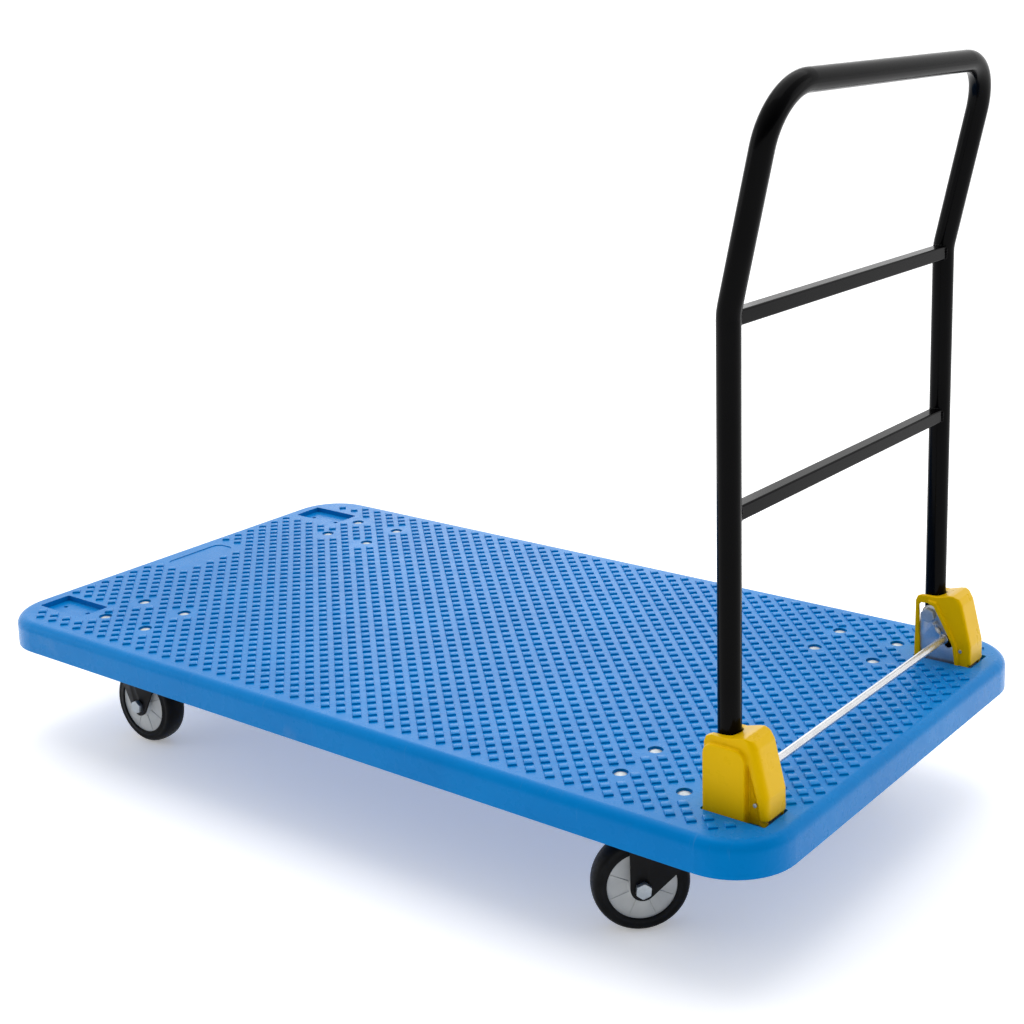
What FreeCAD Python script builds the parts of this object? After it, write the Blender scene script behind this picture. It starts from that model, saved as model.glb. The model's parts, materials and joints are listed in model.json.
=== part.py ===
import FreeCAD, Part

import math
import os
from FreeCAD import Rotation, Vector

# Folding platform cart, in millimetres.
# Origin: on the floor, under the centre of the deck. +X towards the handle, +Z up.
# "Rear" is the handle end, "front" is the far end. "Left" is -Y and "right" is +Y.

OUT = "parts"
os.makedirs(OUT, exist_ok=True)

# ---------------------------------------------------------------- driving sizes
DECK_L = 1216.0            # platform length
DECK_W = 660.0             # platform width
DECK_TOP = 181.0           # floor to load surface
SKIRT_H = 39.0             # height of the moulded side wall
CORNER_R = 74.0            # plan corner radius
EDGE_R = 12.0              # rounding of the top edge
SKIN_T = 4.0               # moulded top skin
WALL_T = 4.0               # moulded side wall
RIB_T = 3.0                # underside ribs
RIB_H = 16.0               # depth of the ribs below the skin
RIB_PITCH = 110.0
RIB_BITE = 0.5             # how far the ribs' ends run into the side wall

WHEEL_R = 55.0             # 110 mm wheels
TYRE_W = 32.0
HUB_R = 39.0               # radius where tyre and wheel centre meet
CASTER_X = 430.0           # caster plate centres
CASTER_Y = 216.0
CASTER_TOP = DECK_TOP - 30.0         # underside of the deck bosses
PATTERN_X = 82.0           # caster bolt pattern
PATTERN_Y = 68.0
PLATE_L = 105.0            # caster top plate
PLATE_W = 88.0
PLATE_T = 3.0
PLATE_CORNER_R = 8.0
TRAIL = 34.0               # swivel axis to axle
SWIVEL_YAW = {"left": 43.4, "right": 18.0}   # how each swivel caster stands, degrees

POST_X = 524.0             # handle posts
POST_Y = 245.0
TUBE_R = 12.7              # one-inch handle tube
TUBE_WALL = 1.5
BEND_Z = DECK_TOP + 517.0  # where the posts lean out
LEAN = 13.0                # degrees from upright above the bend
TOP_Z = DECK_TOP + 739.0   # centre of the top grip
GRIP_R = 62.0              # centre-line radius of the two top corners
BEND_R = 60.0              # centre-line radius of the lean bend
CROSSBAR = 16.0            # square crossbar tube
CROSSBAR_WALL = 1.5
CROSSBAR_Z = {"lower": DECK_TOP + 311.0, "upper": DECK_TOP + 511.0}

PIVOT_Z = DECK_TOP + 57.0  # hinge axis of the handle
POST_FOOT = 26.0           # tube below the hinge axis
PIVOT_R = 5.0
BUSH_R = 7.0
FIT = 0.08                 # radial clearance of a running fit

ROD_R = 4.5                # foot release rod
ROD_X = 545.0
ROD_Z = DECK_TOP + 30.0
ROD_TRAVEL = 8.0
ROD_HALF = 265.0

POCKET_Y = 249.0           # moulded seats for hinge brackets, one near each corner
POCKET_W = 48.0
POCKET_ENDS = {"front": (-583.0, -497.0), "rear": (504.0, 582.0)}
POCKET_DEEP = 7.0
POCKET_CORNER_R = 2.5
BRACKET_T = 2.5
CHEEK_GAP = 14.0           # from the post's centre to the inside of each cheek
BRACKET_BOLT_X = (516.0, 564.0)      # the two bolts of a bracket, from the middle
COVER_T = 2.0
COVER_IN = 226.0           # inner face of a cover
COVER_OUT = 267.0          # outer face of its body
PANEL_OUT = 272.0          # outer face of its raised panel

Y_AXIS = Vector(0, 1, 0)
Z_AXIS = Vector(0, 0, 1)
POCKET_FLOOR = DECK_TOP - POCKET_DEEP
PRESS = Vector(ROD_X - POST_X, 0, ROD_Z - PIVOT_Z).normalize()


# ---------------------------------------------------------------- small helpers
def save(name, shape):
    """Write one node."""
    shape.exportStep(os.path.join(OUT, name + ".step"))


def box(x0, x1, y0, y1, z0, z1):
    """Box from its lowest and highest corners."""
    return Part.makeBox(x1 - x0, y1 - y0, z1 - z0, Vector(x0, y0, z0))


def cyl(r, start, end):
    """Cylinder between two points."""
    axis = end - start
    return Part.makeCylinder(r, axis.Length, start, axis)


def ring(r_out, r_in, start, end):
    """Tube between two points."""
    return cyl(r_out, start, end).cut(cyl(r_in, start, end))


def prism(points, direction):
    """Extrude a closed polygon of (x, y, z) points."""
    corners = [Vector(*p) for p in points]
    return Part.Face(Part.makePolygon(corners + corners[:1])).extrude(direction)


def side_prism(points, y0, y1):
    """Extrude an (x, z) outline from y0 to y1."""
    return prism([(x, y0, z) for x, z in points], Vector(0, y1 - y0, 0))


def rounded_box(length, width, radius, z0, z1, x=0.0, y=0.0):
    """Upright box with rounded plan corners, centred on x, y."""
    block = box(x - length / 2, x + length / 2, y - width / 2, y + width / 2, z0, z1)
    upright = [e for e in block.Edges if abs(e.tangentAt(e.FirstParameter).z) > 0.9]
    return block.makeFillet(radius, upright)


def hexagon(across_flats, start, end):
    """Hexagonal prism between two points."""
    axis = end - start
    turn = Rotation(Z_AXIS, axis)
    r = across_flats / math.sqrt(3)
    angles = [math.radians(60 * i) for i in range(6)]
    corners = [start + turn.multVec(Vector(r * math.cos(a), r * math.sin(a), 0)) for a in angles]
    return Part.Face(Part.makePolygon(corners + corners[:1])).extrude(axis)


def fuse(shapes):
    """Join shapes into one clean solid."""
    joined = shapes[0].multiFuse(shapes[1:])
    return joined.removeSplitter()


def mirror(shape):
    """The same piece on the left side."""
    return shape.mirror(Vector(0, 0, 0), Y_AXIS)


def save_pair(name, shape):
    """Write a right-hand piece and its left-hand mirror image."""
    save(name + "_right", shape)
    save(name + "_left", mirror(shape))


def pipe(path_edges, radius, start, tangent):
    """Round bar swept along a tangent path."""
    section = Part.Wire(Part.makeCircle(radius, start, tangent))
    return Part.Wire(path_edges).makePipeShell([section], True, False)


CORNERS = [(sx, sy) for sx in (-1, 1) for sy in (-1, 1)]
PATTERN = [(sx * PATTERN_X / 2, sy * PATTERN_Y / 2) for sx, sy in CORNERS]
CASTER_CENTRES = [(sx * CASTER_X, sy * CASTER_Y) for sx, sy in CORNERS]
CASTER_BOLTS = [(cx + dx, cy + dy) for cx, cy in CASTER_CENTRES for dx, dy in PATTERN]
POCKETS = [(x0, x1, sy * POCKET_Y) for x0, x1 in POCKET_ENDS.values() for sy in (-1, 1)]
POCKET_BOLTS = [(sx * x, sy * POST_Y) for sx, sy in CORNERS for x in BRACKET_BOLT_X]


# ---------------------------------------------------------------- moulded deck
CASTER_BOLT_R = 4.0
BOLT_CLEAR = 0.3           # radial clearance of a bolt hole
RECESS_R = 9.0
RECESS_DEEP = 3.0
BOSS_R = 11.0
POCKET_BOLT_R = 3.0
LABEL_SEAT = (560.0, 36.0, 104.0)    # distance from the middle, length, width
LABEL_SEAT_DEEP = 1.0
LABEL_SEAT_R = 12.0


def deck_ribs():
    """Ribs under the skin, and the pads that the casters bolt to."""
    z0, z1 = DECK_TOP - SKIN_T - RIB_H, DECK_TOP - SKIN_T / 2
    half_l, half_w = DECK_L / 2 - WALL_T / 2, DECK_W / 2 - WALL_T / 2
    ribs = []
    for i in range(-5, 6):
        x = i * RIB_PITCH
        ribs.append(box(x - RIB_T / 2, x + RIB_T / 2, -half_w, half_w, z0, z1))
    for i in range(-2, 3):
        y = i * RIB_PITCH
        ribs.append(box(-half_l, half_l, y - RIB_T / 2, y + RIB_T / 2, z0, z1))
    for cx, cy in CASTER_CENTRES:
        outer = box(cx - PLATE_L / 2, cx + PLATE_L / 2, cy - PLATE_W / 2, cy + PLATE_W / 2,
                    CASTER_TOP, z1)
        inner = box(cx - PLATE_L / 2 + RIB_T, cx + PLATE_L / 2 - RIB_T,
                    cy - PLATE_W / 2 + RIB_T, cy + PLATE_W / 2 - RIB_T, CASTER_TOP, z1)
        ribs.append(outer.cut(inner))
    return ribs


def deck():
    """One injection moulding: skin, skirt, ribs, bosses and bracket seats."""
    bottom = DECK_TOP - SKIRT_H
    block = rounded_box(DECK_L, DECK_W, CORNER_R, bottom, DECK_TOP)
    rim = [e for e in block.Edges if e.BoundBox.ZMin > DECK_TOP - 0.01]
    block = block.makeFillet(EDGE_R, rim)
    hollow = rounded_box(DECK_L - 2 * WALL_T, DECK_W - 2 * WALL_T, CORNER_R - WALL_T,
                         bottom - 1, DECK_TOP - SKIN_T - 1)
    margin = WALL_T - RIB_BITE
    inside = rounded_box(DECK_L - 2 * margin, DECK_W - 2 * margin, CORNER_R - margin,
                         bottom, DECK_TOP - SKIN_T)
    bosses = [cyl(BOSS_R, Vector(x, y, CASTER_TOP), Vector(x, y, DECK_TOP - 1))
              for x, y in CASTER_BOLTS]
    seats = [box(x0 - WALL_T, x1 + WALL_T, y - POCKET_W / 2 - WALL_T, y + POCKET_W / 2 + WALL_T,
                 POCKET_FLOOR - SKIN_T, DECK_TOP - 1) for x0, x1, y in POCKETS]
    ribs = fuse(deck_ribs()).common(inside)
    shape = fuse([block.cut(hollow), ribs] + bosses + seats)
    cuts = [rounded_box(x1 - x0, POCKET_W, POCKET_CORNER_R, POCKET_FLOOR, DECK_TOP + 1, (x0 + x1) / 2, y)
            for x0, x1, y in POCKETS]
    for x, y in CASTER_BOLTS:
        cuts.append(cyl(RECESS_R, Vector(x, y, DECK_TOP - RECESS_DEEP), Vector(x, y, DECK_TOP + 1)))
        cuts.append(cyl(CASTER_BOLT_R + BOLT_CLEAR, Vector(x, y, CASTER_TOP - 1), Vector(x, y, DECK_TOP)))
    for x, y in POCKET_BOLTS:
        cuts.append(cyl(POCKET_BOLT_R + BOLT_CLEAR, Vector(x, y, CASTER_TOP - 1), Vector(x, y, DECK_TOP)))
    seat_x, seat_l, seat_w = LABEL_SEAT
    cuts.append(rounded_box(seat_l, seat_w, LABEL_SEAT_R, DECK_TOP - LABEL_SEAT_DEEP, DECK_TOP + 1,
                            -seat_x, 0.0))
    return shape.cut(cuts)


save("deck", deck())


# ---------------------------------------------------------------- caster fasteners
WASHER_T = 1.6
HEAD_R = 8.0
HEAD_H = 2.0
NUT_H = 6.5
NUT_FLATS = 13.0
WASHER_R = 8.0
PLATE_BOTTOM = CASTER_TOP - PLATE_T


def domed_head(r, height, x, y, z):
    """Shallow domed bolt head standing on z."""
    sphere_r = (r * r + height * height) / (2 * height)
    ball = Part.makeSphere(sphere_r, Vector(x, y, z + height - sphere_r))
    return ball.common(box(x - r, x + r, y - r, y + r, z, z + height))


def caster_bolt(x, y):
    """Domed bolt, let into the deck's recess, reaching down past the nut."""
    seat = DECK_TOP - RECESS_DEEP
    tip = PLATE_BOTTOM - WASHER_T - NUT_H - 2.0
    shank = cyl(CASTER_BOLT_R, Vector(x, y, tip), Vector(x, y, seat + 0.5))
    return shank.fuse(domed_head(HEAD_R, HEAD_H, x, y, seat)).removeSplitter()


def caster_washer(x, y):
    """Flat washer under a caster plate."""
    return ring(WASHER_R, CASTER_BOLT_R + 0.2, Vector(x, y, PLATE_BOTTOM - WASHER_T),
                Vector(x, y, PLATE_BOTTOM))


def caster_nut(x, y):
    """Hexagon nut under the washer."""
    top = Vector(x, y, PLATE_BOTTOM - WASHER_T)
    low = Vector(x, y, PLATE_BOTTOM - WASHER_T - NUT_H)
    return hexagon(NUT_FLATS, low, top).cut(cyl(CASTER_BOLT_R + 0.05, low, top))


save("caster_bolts", Part.makeCompound([caster_bolt(x, y) for x, y in CASTER_BOLTS]))
save("caster_washers", Part.makeCompound([caster_washer(x, y) for x, y in CASTER_BOLTS]))
save("caster_nuts", Part.makeCompound([caster_nut(x, y) for x, y in CASTER_BOLTS]))


# ---------------------------------------------------------------- casters
LEG_IN = 20.0              # inside of a fork leg, from the wheel's middle
LEG_T = 2.5
LEG_END_R = 14.0           # rounded leg end about the axle
LEG_SLANT = 42.0           # leading edge of a swivel fork leg, degrees from level
CROWN_R = 30.0
CROWN_TOP = CASTER_TOP - 8.8
BALL_R = 2.5
BALL_RING_R = 22.0
BALL_COUNT = 20
KINGPIN_R = 6.0
AXLE_R = 5.0
SLEEVE_R = 7.5
HUB_HALF = 19.0            # half the length of the wheel's boss
HUB_BOSS_R = 15.0
TYRE_SHOULDER = 7.0        # rounding of the tyre's shoulders
AXLE_FLATS = 16.0          # hexagon of the axle bolt and nut
AXLE_HEAD_H = 6.0
AXLE_NUT_H = 8.0


def tangent_leg(front_x, top_z, back_x):
    """Fork leg outline as a face in the XZ plane, axle at the origin.

    The lower end is round about the axle. The trailing edge rises upright and the
    leading edge rises at LEG_SLANT, each tangent to the round end.
    """
    slope = math.radians(LEG_SLANT)
    touch = Vector(LEG_END_R * math.sin(slope), 0, -LEG_END_R * math.cos(slope))
    corner_z = touch.z + (front_x - touch.x) * math.tan(slope)
    low = Vector(-LEG_END_R * math.cos(slope / 2), 0, -LEG_END_R * math.sin(slope / 2))
    start = Vector(-LEG_END_R, 0, 0)
    outline = [touch, Vector(front_x, 0, corner_z), Vector(front_x, 0, top_z),
               Vector(back_x, 0, top_z), Vector(-LEG_END_R, 0, top_z - 24.0), start]
    edges = [Part.makeLine(a, b) for a, b in zip(outline, outline[1:])]
    edges.append(Part.Arc(start, low, touch).toShape())
    return Part.Face(Part.Wire(edges))


def swivel_fork():
    """Pressed fork of a swivel caster: crown, two legs, axle holes."""
    axle_z = WHEEL_R
    top = CROWN_TOP - axle_z
    face = tangent_leg(TRAIL + CROWN_R - 2.0, top, TRAIL - CROWN_R + 6.0)
    pieces = []
    for side in (-1, 1):
        y0 = LEG_IN if side > 0 else -LEG_IN - LEG_T
        leg = face.copy()
        leg.translate(Vector(-TRAIL, y0, axle_z))
        pieces.append(leg.extrude(Vector(0, LEG_T, 0)))
    low, high = Vector(0, 0, CROWN_TOP - 3.0), Vector(0, 0, CROWN_TOP)
    bridge = box(-CROWN_R + 6.0, CROWN_R - 2.0, -LEG_IN - LEG_T, LEG_IN + LEG_T, low.z, high.z)
    pieces += [cyl(CROWN_R, low, high), bridge]
    fork = fuse(pieces)
    fork = fork.cut(cyl(KINGPIN_R + 0.3, low - Z_AXIS, high + Z_AXIS))
    return fork.cut(cyl(AXLE_R + 0.1, Vector(-TRAIL, -40, axle_z), Vector(-TRAIL, 40, axle_z)))


def fixed_fork():
    """Pressed fork of a fixed caster: plate and two straight legs in one piece."""
    top = CASTER_TOP
    plate = rounded_box(PLATE_L, PLATE_W, PLATE_CORNER_R, PLATE_BOTTOM, top)
    slope = math.radians(62.0)
    touch = Vector(LEG_END_R * math.sin(slope), 0, -LEG_END_R * math.cos(slope))
    wide = 36.0
    rise = touch.z + (wide - touch.x) * math.tan(slope)
    head = PLATE_BOTTOM - WHEEL_R
    right = [touch, Vector(wide, 0, rise), Vector(wide, 0, head)]
    left = [Vector(-p.x, 0, p.z) for p in reversed(right)]
    outline = right + left
    edges = [Part.makeLine(a, b) for a, b in zip(outline, outline[1:])]
    edges.append(Part.Arc(left[-1], Vector(0, 0, -LEG_END_R), touch).toShape())
    face = Part.Face(Part.Wire(edges))
    pieces = [plate]
    for y0 in (LEG_IN, -LEG_IN - LEG_T):
        leg = face.copy()
        leg.translate(Vector(0, y0, WHEEL_R))
        pieces.append(leg.extrude(Vector(0, LEG_T, 0)))
    fork = fuse(pieces)
    holes = [cyl(CASTER_BOLT_R + BOLT_CLEAR, Vector(x, y, 100), Vector(x, y, 200)) for x, y in PATTERN]
    axle = cyl(AXLE_R + 0.1, Vector(0, -40, WHEEL_R), Vector(0, 40, WHEEL_R))
    return fork.cut(holes + [axle])


def swivel_plate():
    """Top plate of a swivel caster, with the raceway lip under it."""
    plate = rounded_box(PLATE_L, PLATE_W, PLATE_CORNER_R, PLATE_BOTTOM, CASTER_TOP)
    lip = ring(BALL_RING_R + 8.0, BALL_RING_R + 4.0, Vector(0, 0, PLATE_BOTTOM - 3.0),
               Vector(0, 0, PLATE_BOTTOM))
    holes = [cyl(CASTER_BOLT_R + BOLT_CLEAR, Vector(x, y, 100), Vector(x, y, 200)) for x, y in PATTERN]
    holes.append(cyl(KINGPIN_R, Vector(0, 0, 100), Vector(0, 0, 200)))
    return fuse([plate, lip]).cut(holes)


def ball_ring():
    """The swivel head's ring of bearing balls."""
    z = PLATE_BOTTOM - 0.2 - BALL_R
    step = 2 * math.pi / BALL_COUNT
    centres = [Vector(BALL_RING_R * math.cos(i * step), BALL_RING_R * math.sin(i * step), z)
               for i in range(BALL_COUNT)]
    return Part.makeCompound([Part.makeSphere(BALL_R, centre) for centre in centres])


def kingpin():
    """Rivet that holds the fork to the plate: shank and lower head."""
    low = CROWN_TOP - 3.0
    shank = cyl(KINGPIN_R, Vector(0, 0, low - 1.0), Vector(0, 0, CASTER_TOP))
    head = cyl(11.0, Vector(0, 0, low - 5.0), Vector(0, 0, low - 0.4))
    return shank.fuse(head).removeSplitter()


def tyre():
    """Solid rubber tyre with a crowned tread, axle along Y through the origin."""
    half = TYRE_W / 2
    inner, side_top = HUB_R, WHEEL_R - TYRE_SHOULDER
    corner = TYRE_SHOULDER * (1 - math.sqrt(0.5))
    points = [Vector(inner, -half, 0), Vector(side_top, -half, 0),
              Vector(WHEEL_R, -half + TYRE_SHOULDER, 0), Vector(WHEEL_R, half - TYRE_SHOULDER, 0),
              Vector(side_top, half, 0), Vector(inner, half, 0)]
    edges = [Part.makeLine(points[0], points[1]),
             Part.Arc(points[1], Vector(WHEEL_R - corner, -half + corner, 0), points[2]).toShape(),
             Part.makeLine(points[2], points[3]),
             Part.Arc(points[3], Vector(WHEEL_R - corner, half - corner, 0), points[4]).toShape(),
             Part.makeLine(points[4], points[5]),
             Part.makeLine(points[5], points[0])]
    return Part.Face(Part.Wire(edges)).revolve(Vector(0, 0, 0), Y_AXIS, 360)


def wheel_centre():
    """Ribbed plastic wheel centre: boss, web, ribs and rim."""
    rim_half = TYRE_W / 2 - 1.0
    pieces = [ring(HUB_R - 0.05, HUB_R - 4.0, Vector(0, -rim_half, 0), Vector(0, rim_half, 0)),
              ring(HUB_R - 3.0, 10.0, Vector(0, -rim_half + 3.0, 0), Vector(0, rim_half - 3.0, 0)),
              cyl(HUB_BOSS_R, Vector(0, -HUB_HALF, 0), Vector(0, HUB_HALF, 0))]
    centre = fuse(pieces)
    return centre.cut(cyl(SLEEVE_R + FIT, Vector(0, -30, 0), Vector(0, 30, 0)))


def axle_sleeve():
    """Steel spacer tube that the wheel turns on, clamped between the legs."""
    return ring(SLEEVE_R, AXLE_R + 0.1, Vector(0, -LEG_IN, 0), Vector(0, LEG_IN, 0))


def axle_bolt():
    """Axle bolt, hexagon head on the -Y side."""
    face = LEG_IN + LEG_T
    head = hexagon(AXLE_FLATS, Vector(0, -face - AXLE_HEAD_H, 0), Vector(0, -face, 0))
    shank = cyl(AXLE_R, Vector(0, -face - 1.0, 0), Vector(0, face + 10.0, 0))
    return head.fuse(shank).removeSplitter()


def axle_nut():
    """Lock nut on the +Y side."""
    face = LEG_IN + LEG_T
    low, high = Vector(0, face, 0), Vector(0, face + AXLE_NUT_H, 0)
    return hexagon(AXLE_FLATS, low, high).cut(cyl(AXLE_R + 0.05, low, high))


def place(shape, x, y, z, yaw):
    """Turn a piece about the upright axis at its origin, then carry it to x, y, z."""
    placed = shape.copy()
    placed.rotate(Vector(0, 0, 0), Z_AXIS, yaw)
    placed.translate(Vector(x, y, z))
    return placed


WHEEL_SET = {"tyre": tyre(), "wheel_centre": wheel_centre(), "axle_sleeve": axle_sleeve(),
             "axle_bolt": axle_bolt(), "axle_nut": axle_nut()}

for side, sign in (("left", -1), ("right", 1)):
    centre_y = sign * CASTER_Y
    save("front_fork_" + side, place(fixed_fork(), -CASTER_X, centre_y, 0, 0))
    yaw = SWIVEL_YAW[side]
    save("rear_plate_" + side, place(swivel_plate(), CASTER_X, centre_y, 0, 0))
    save("rear_balls_" + side, place(ball_ring(), CASTER_X, centre_y, 0, 0))
    save("rear_kingpin_" + side, place(kingpin(), CASTER_X, centre_y, 0, 0))
    save("rear_fork_" + side, place(swivel_fork(), CASTER_X, centre_y, 0, yaw))
    axle_x = CASTER_X - TRAIL * math.cos(math.radians(yaw))
    axle_y = centre_y - TRAIL * math.sin(math.radians(yaw))
    for part_name, shape in WHEEL_SET.items():
        save("front_" + part_name + "_" + side, place(shape, -CASTER_X, centre_y, WHEEL_R, 0))
        save("rear_" + part_name + "_" + side, place(shape, axle_x, axle_y, WHEEL_R, yaw))


# ---------------------------------------------------------------- handle
def handle_path():
    """Centre line of the bent tube, from the right foot over the grip to the left foot."""
    lean = math.radians(LEAN)
    up = Vector(math.sin(lean), 0, math.cos(lean))
    foot = Vector(POST_X, POST_Y, PIVOT_Z - POST_FOOT)
    bend = Vector(POST_X, POST_Y, BEND_Z)
    corner = bend + up * ((TOP_Z - BEND_Z) / up.z)
    trim = BEND_R * math.tan(lean / 2)
    side = [foot, bend - Z_AXIS * trim, bend + up * trim, corner - up * GRIP_R]
    middle = bend - Z_AXIS * trim + Vector(BEND_R * (1 - math.cos(lean / 2)), 0,
                                           BEND_R * math.sin(lean / 2))
    inward = Vector(0, -1, 0)
    arc_end = corner + inward * GRIP_R
    hub = side[3] + inward * GRIP_R
    arc_mid = hub + (up - inward).normalize() * GRIP_R
    flip = [Vector(p.x, -p.y, p.z) for p in (foot, side[1], middle, side[2], side[3], arc_mid, arc_end)]
    return [Part.makeLine(side[0], side[1]), Part.Arc(side[1], middle, side[2]).toShape(),
            Part.makeLine(side[2], side[3]), Part.Arc(side[3], arc_mid, arc_end).toShape(),
            Part.makeLine(arc_end, flip[6]), Part.Arc(flip[6], flip[5], flip[4]).toShape(),
            Part.makeLine(flip[4], flip[3]), Part.Arc(flip[3], flip[2], flip[1]).toShape(),
            Part.makeLine(flip[1], flip[0])]


def handle_tube():
    """The bent tube, hollow, cross-drilled for the two hinge bushes."""
    foot = Vector(POST_X, POST_Y, PIVOT_Z - POST_FOOT)
    outside = pipe(handle_path(), TUBE_R, foot, Z_AXIS)
    inside = pipe(handle_path(), TUBE_R - TUBE_WALL, foot, Z_AXIS)
    reach = POST_Y + TUBE_R + 2.0
    cross = cyl(BUSH_R, Vector(POST_X, -reach, PIVOT_Z), Vector(POST_X, reach, PIVOT_Z))
    return outside.cut(inside).cut(cross)


def crossbar(z):
    """Square tube between the posts, its ends cut to sit on them."""
    half = CROSSBAR / 2
    bar = box(POST_X - half, POST_X + half, -POST_Y, POST_Y, z - half, z + half)
    long_edges = [e for e in bar.Edges if abs(e.tangentAt(e.FirstParameter).y) > 0.9]
    bar = bar.makeFillet(2.0, long_edges)
    inner = half - CROSSBAR_WALL
    bar = bar.cut(box(POST_X - inner, POST_X + inner, -POST_Y, POST_Y, z - inner, z + inner))
    post = pipe(handle_path(), TUBE_R, Vector(POST_X, POST_Y, PIVOT_Z - POST_FOOT), Z_AXIS)
    return bar.cut(post)


save("handle_tube", handle_tube())
for level, height in CROSSBAR_Z.items():
    save("crossbar_" + level, crossbar(height))


# ---------------------------------------------------------------- hinges
CHEEK_IN = POST_Y - CHEEK_GAP        # facing side of the inner cheek
CHEEK_OUT = POST_Y + CHEEK_GAP
BASE_TOP = POCKET_FLOOR + BRACKET_T
COVER_SCREW_X = 567.0
COVER_SCREW_Z = DECK_TOP + 18.0
COVER_SCREW_R = 1.75
COVER_SCREW_HEAD = (2.3, 1.0)         # radius, height
ANCHOR = Vector(531.5, 0, DECK_TOP + 46.5)    # spring anchor pin
ANCHOR_R = 1.75
SPRING_Y = 224.9
WIRE_R = 0.6
COIL_R = 2.6
COILS = 8
PIVOT_FLATS = 16.0         # hexagon of the hinge bolt and nut
PIVOT_HEAD_H = 6.0
BRACKET_NUT = (10.0, 6.0)            # across flats, height
BRACKET_HEAD = (6.0, 3.5)            # radius, height


def along_y(x, z, y0, y1, r):
    """Cylinder along Y."""
    return cyl(r, Vector(x, y0, z), Vector(x, y1, z))


def press_slot(y0, y1):
    """Slot that guides the release rod."""
    r = ROD_R + 0.5
    start = Vector(ROD_X, y0, ROD_Z)
    end = start + PRESS * (ROD_TRAVEL + 0.3)
    across = Vector(PRESS.z, 0, -PRESS.x) * r
    corners = [start + across, end + across, end - across, start - across]
    middle = Part.Face(Part.makePolygon(corners + corners[:1])).extrude(Vector(0, y1 - y0, 0))
    return fuse([middle, along_y(start.x, start.z, y0, y1, r), along_y(end.x, end.z, y0, y1, r)])


def hinge_bracket():
    """Folded steel channel: base in the deck's seat and two cheeks."""
    y0, y1 = CHEEK_IN - BRACKET_T, CHEEK_OUT + BRACKET_T
    outline = [(509.0, POCKET_FLOOR), (576.0, POCKET_FLOOR), (573.0, DECK_TOP + 24.0),
               (562.0, DECK_TOP + 60.0), (552.0, DECK_TOP + 66.0),
               (POST_X, PIVOT_Z + 12.0), (POST_X - 12.0, PIVOT_Z), (511.0, DECK_TOP + 20.0)]
    solid = side_prism(outline, y0, y1)
    solid = solid.cut(box(500, 590, CHEEK_IN, CHEEK_OUT, BASE_TOP, DECK_TOP + 90))
    pin = along_y(ANCHOR.x, ANCHOR.z, SPRING_Y - 2.4, y0 + 1.0, ANCHOR_R)
    solid = fuse([solid, pin])
    cuts = [along_y(POST_X, PIVOT_Z, y0 - 1, y1 + 1, PIVOT_R + 0.05), press_slot(y0 - 1, y1 + 1),
            along_y(COVER_SCREW_X, COVER_SCREW_Z, y0 - 1, y1 + 1, COVER_SCREW_R + 0.05)]
    for x in BRACKET_BOLT_X:
        cuts.append(cyl(POCKET_BOLT_R + 0.2, Vector(x, POST_Y, 150), Vector(x, POST_Y, 200)))
    return solid.cut(cuts)


def cover_outline(inset):
    """Side outline of a cover, shrunk by inset, as (x, z) points.

    The top is level round the post, then steps up to a rounded hood behind it.
    """
    low = DECK_TOP - 6.5
    t = inset
    top = [(580.5 - t, 26.0), (567.5 - t, 77.0), (563.0 - t, 84.0 - t), (555.0 - t, 87.0 - t),
           (548.0, 86.0 - t), (540.0, 83.7 - t), (532.0, 82.5 - t), (514.0 + t, 82.0 - t),
           (508.5 + t, 79.5 - t), (506.0 + t, 73.0 - t)]
    return [(505.0 + t, low), (581.0 - t, low)] + [(x, DECK_TOP + z) for x, z in top]


def panel_box(inset, y0, y1):
    """The raised panel on a cover's outer face, shrunk by inset."""
    block = box(507.0 + inset, 557.0 - inset, y0, y1, DECK_TOP - 6.5, DECK_TOP + 74.0 - inset)
    top = [e for e in block.Edges if abs(e.tangentAt(e.FirstParameter).y) > 0.9
           and e.BoundBox.ZMin > DECK_TOP]
    return block.makeFillet(12.0 - inset, top)


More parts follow.
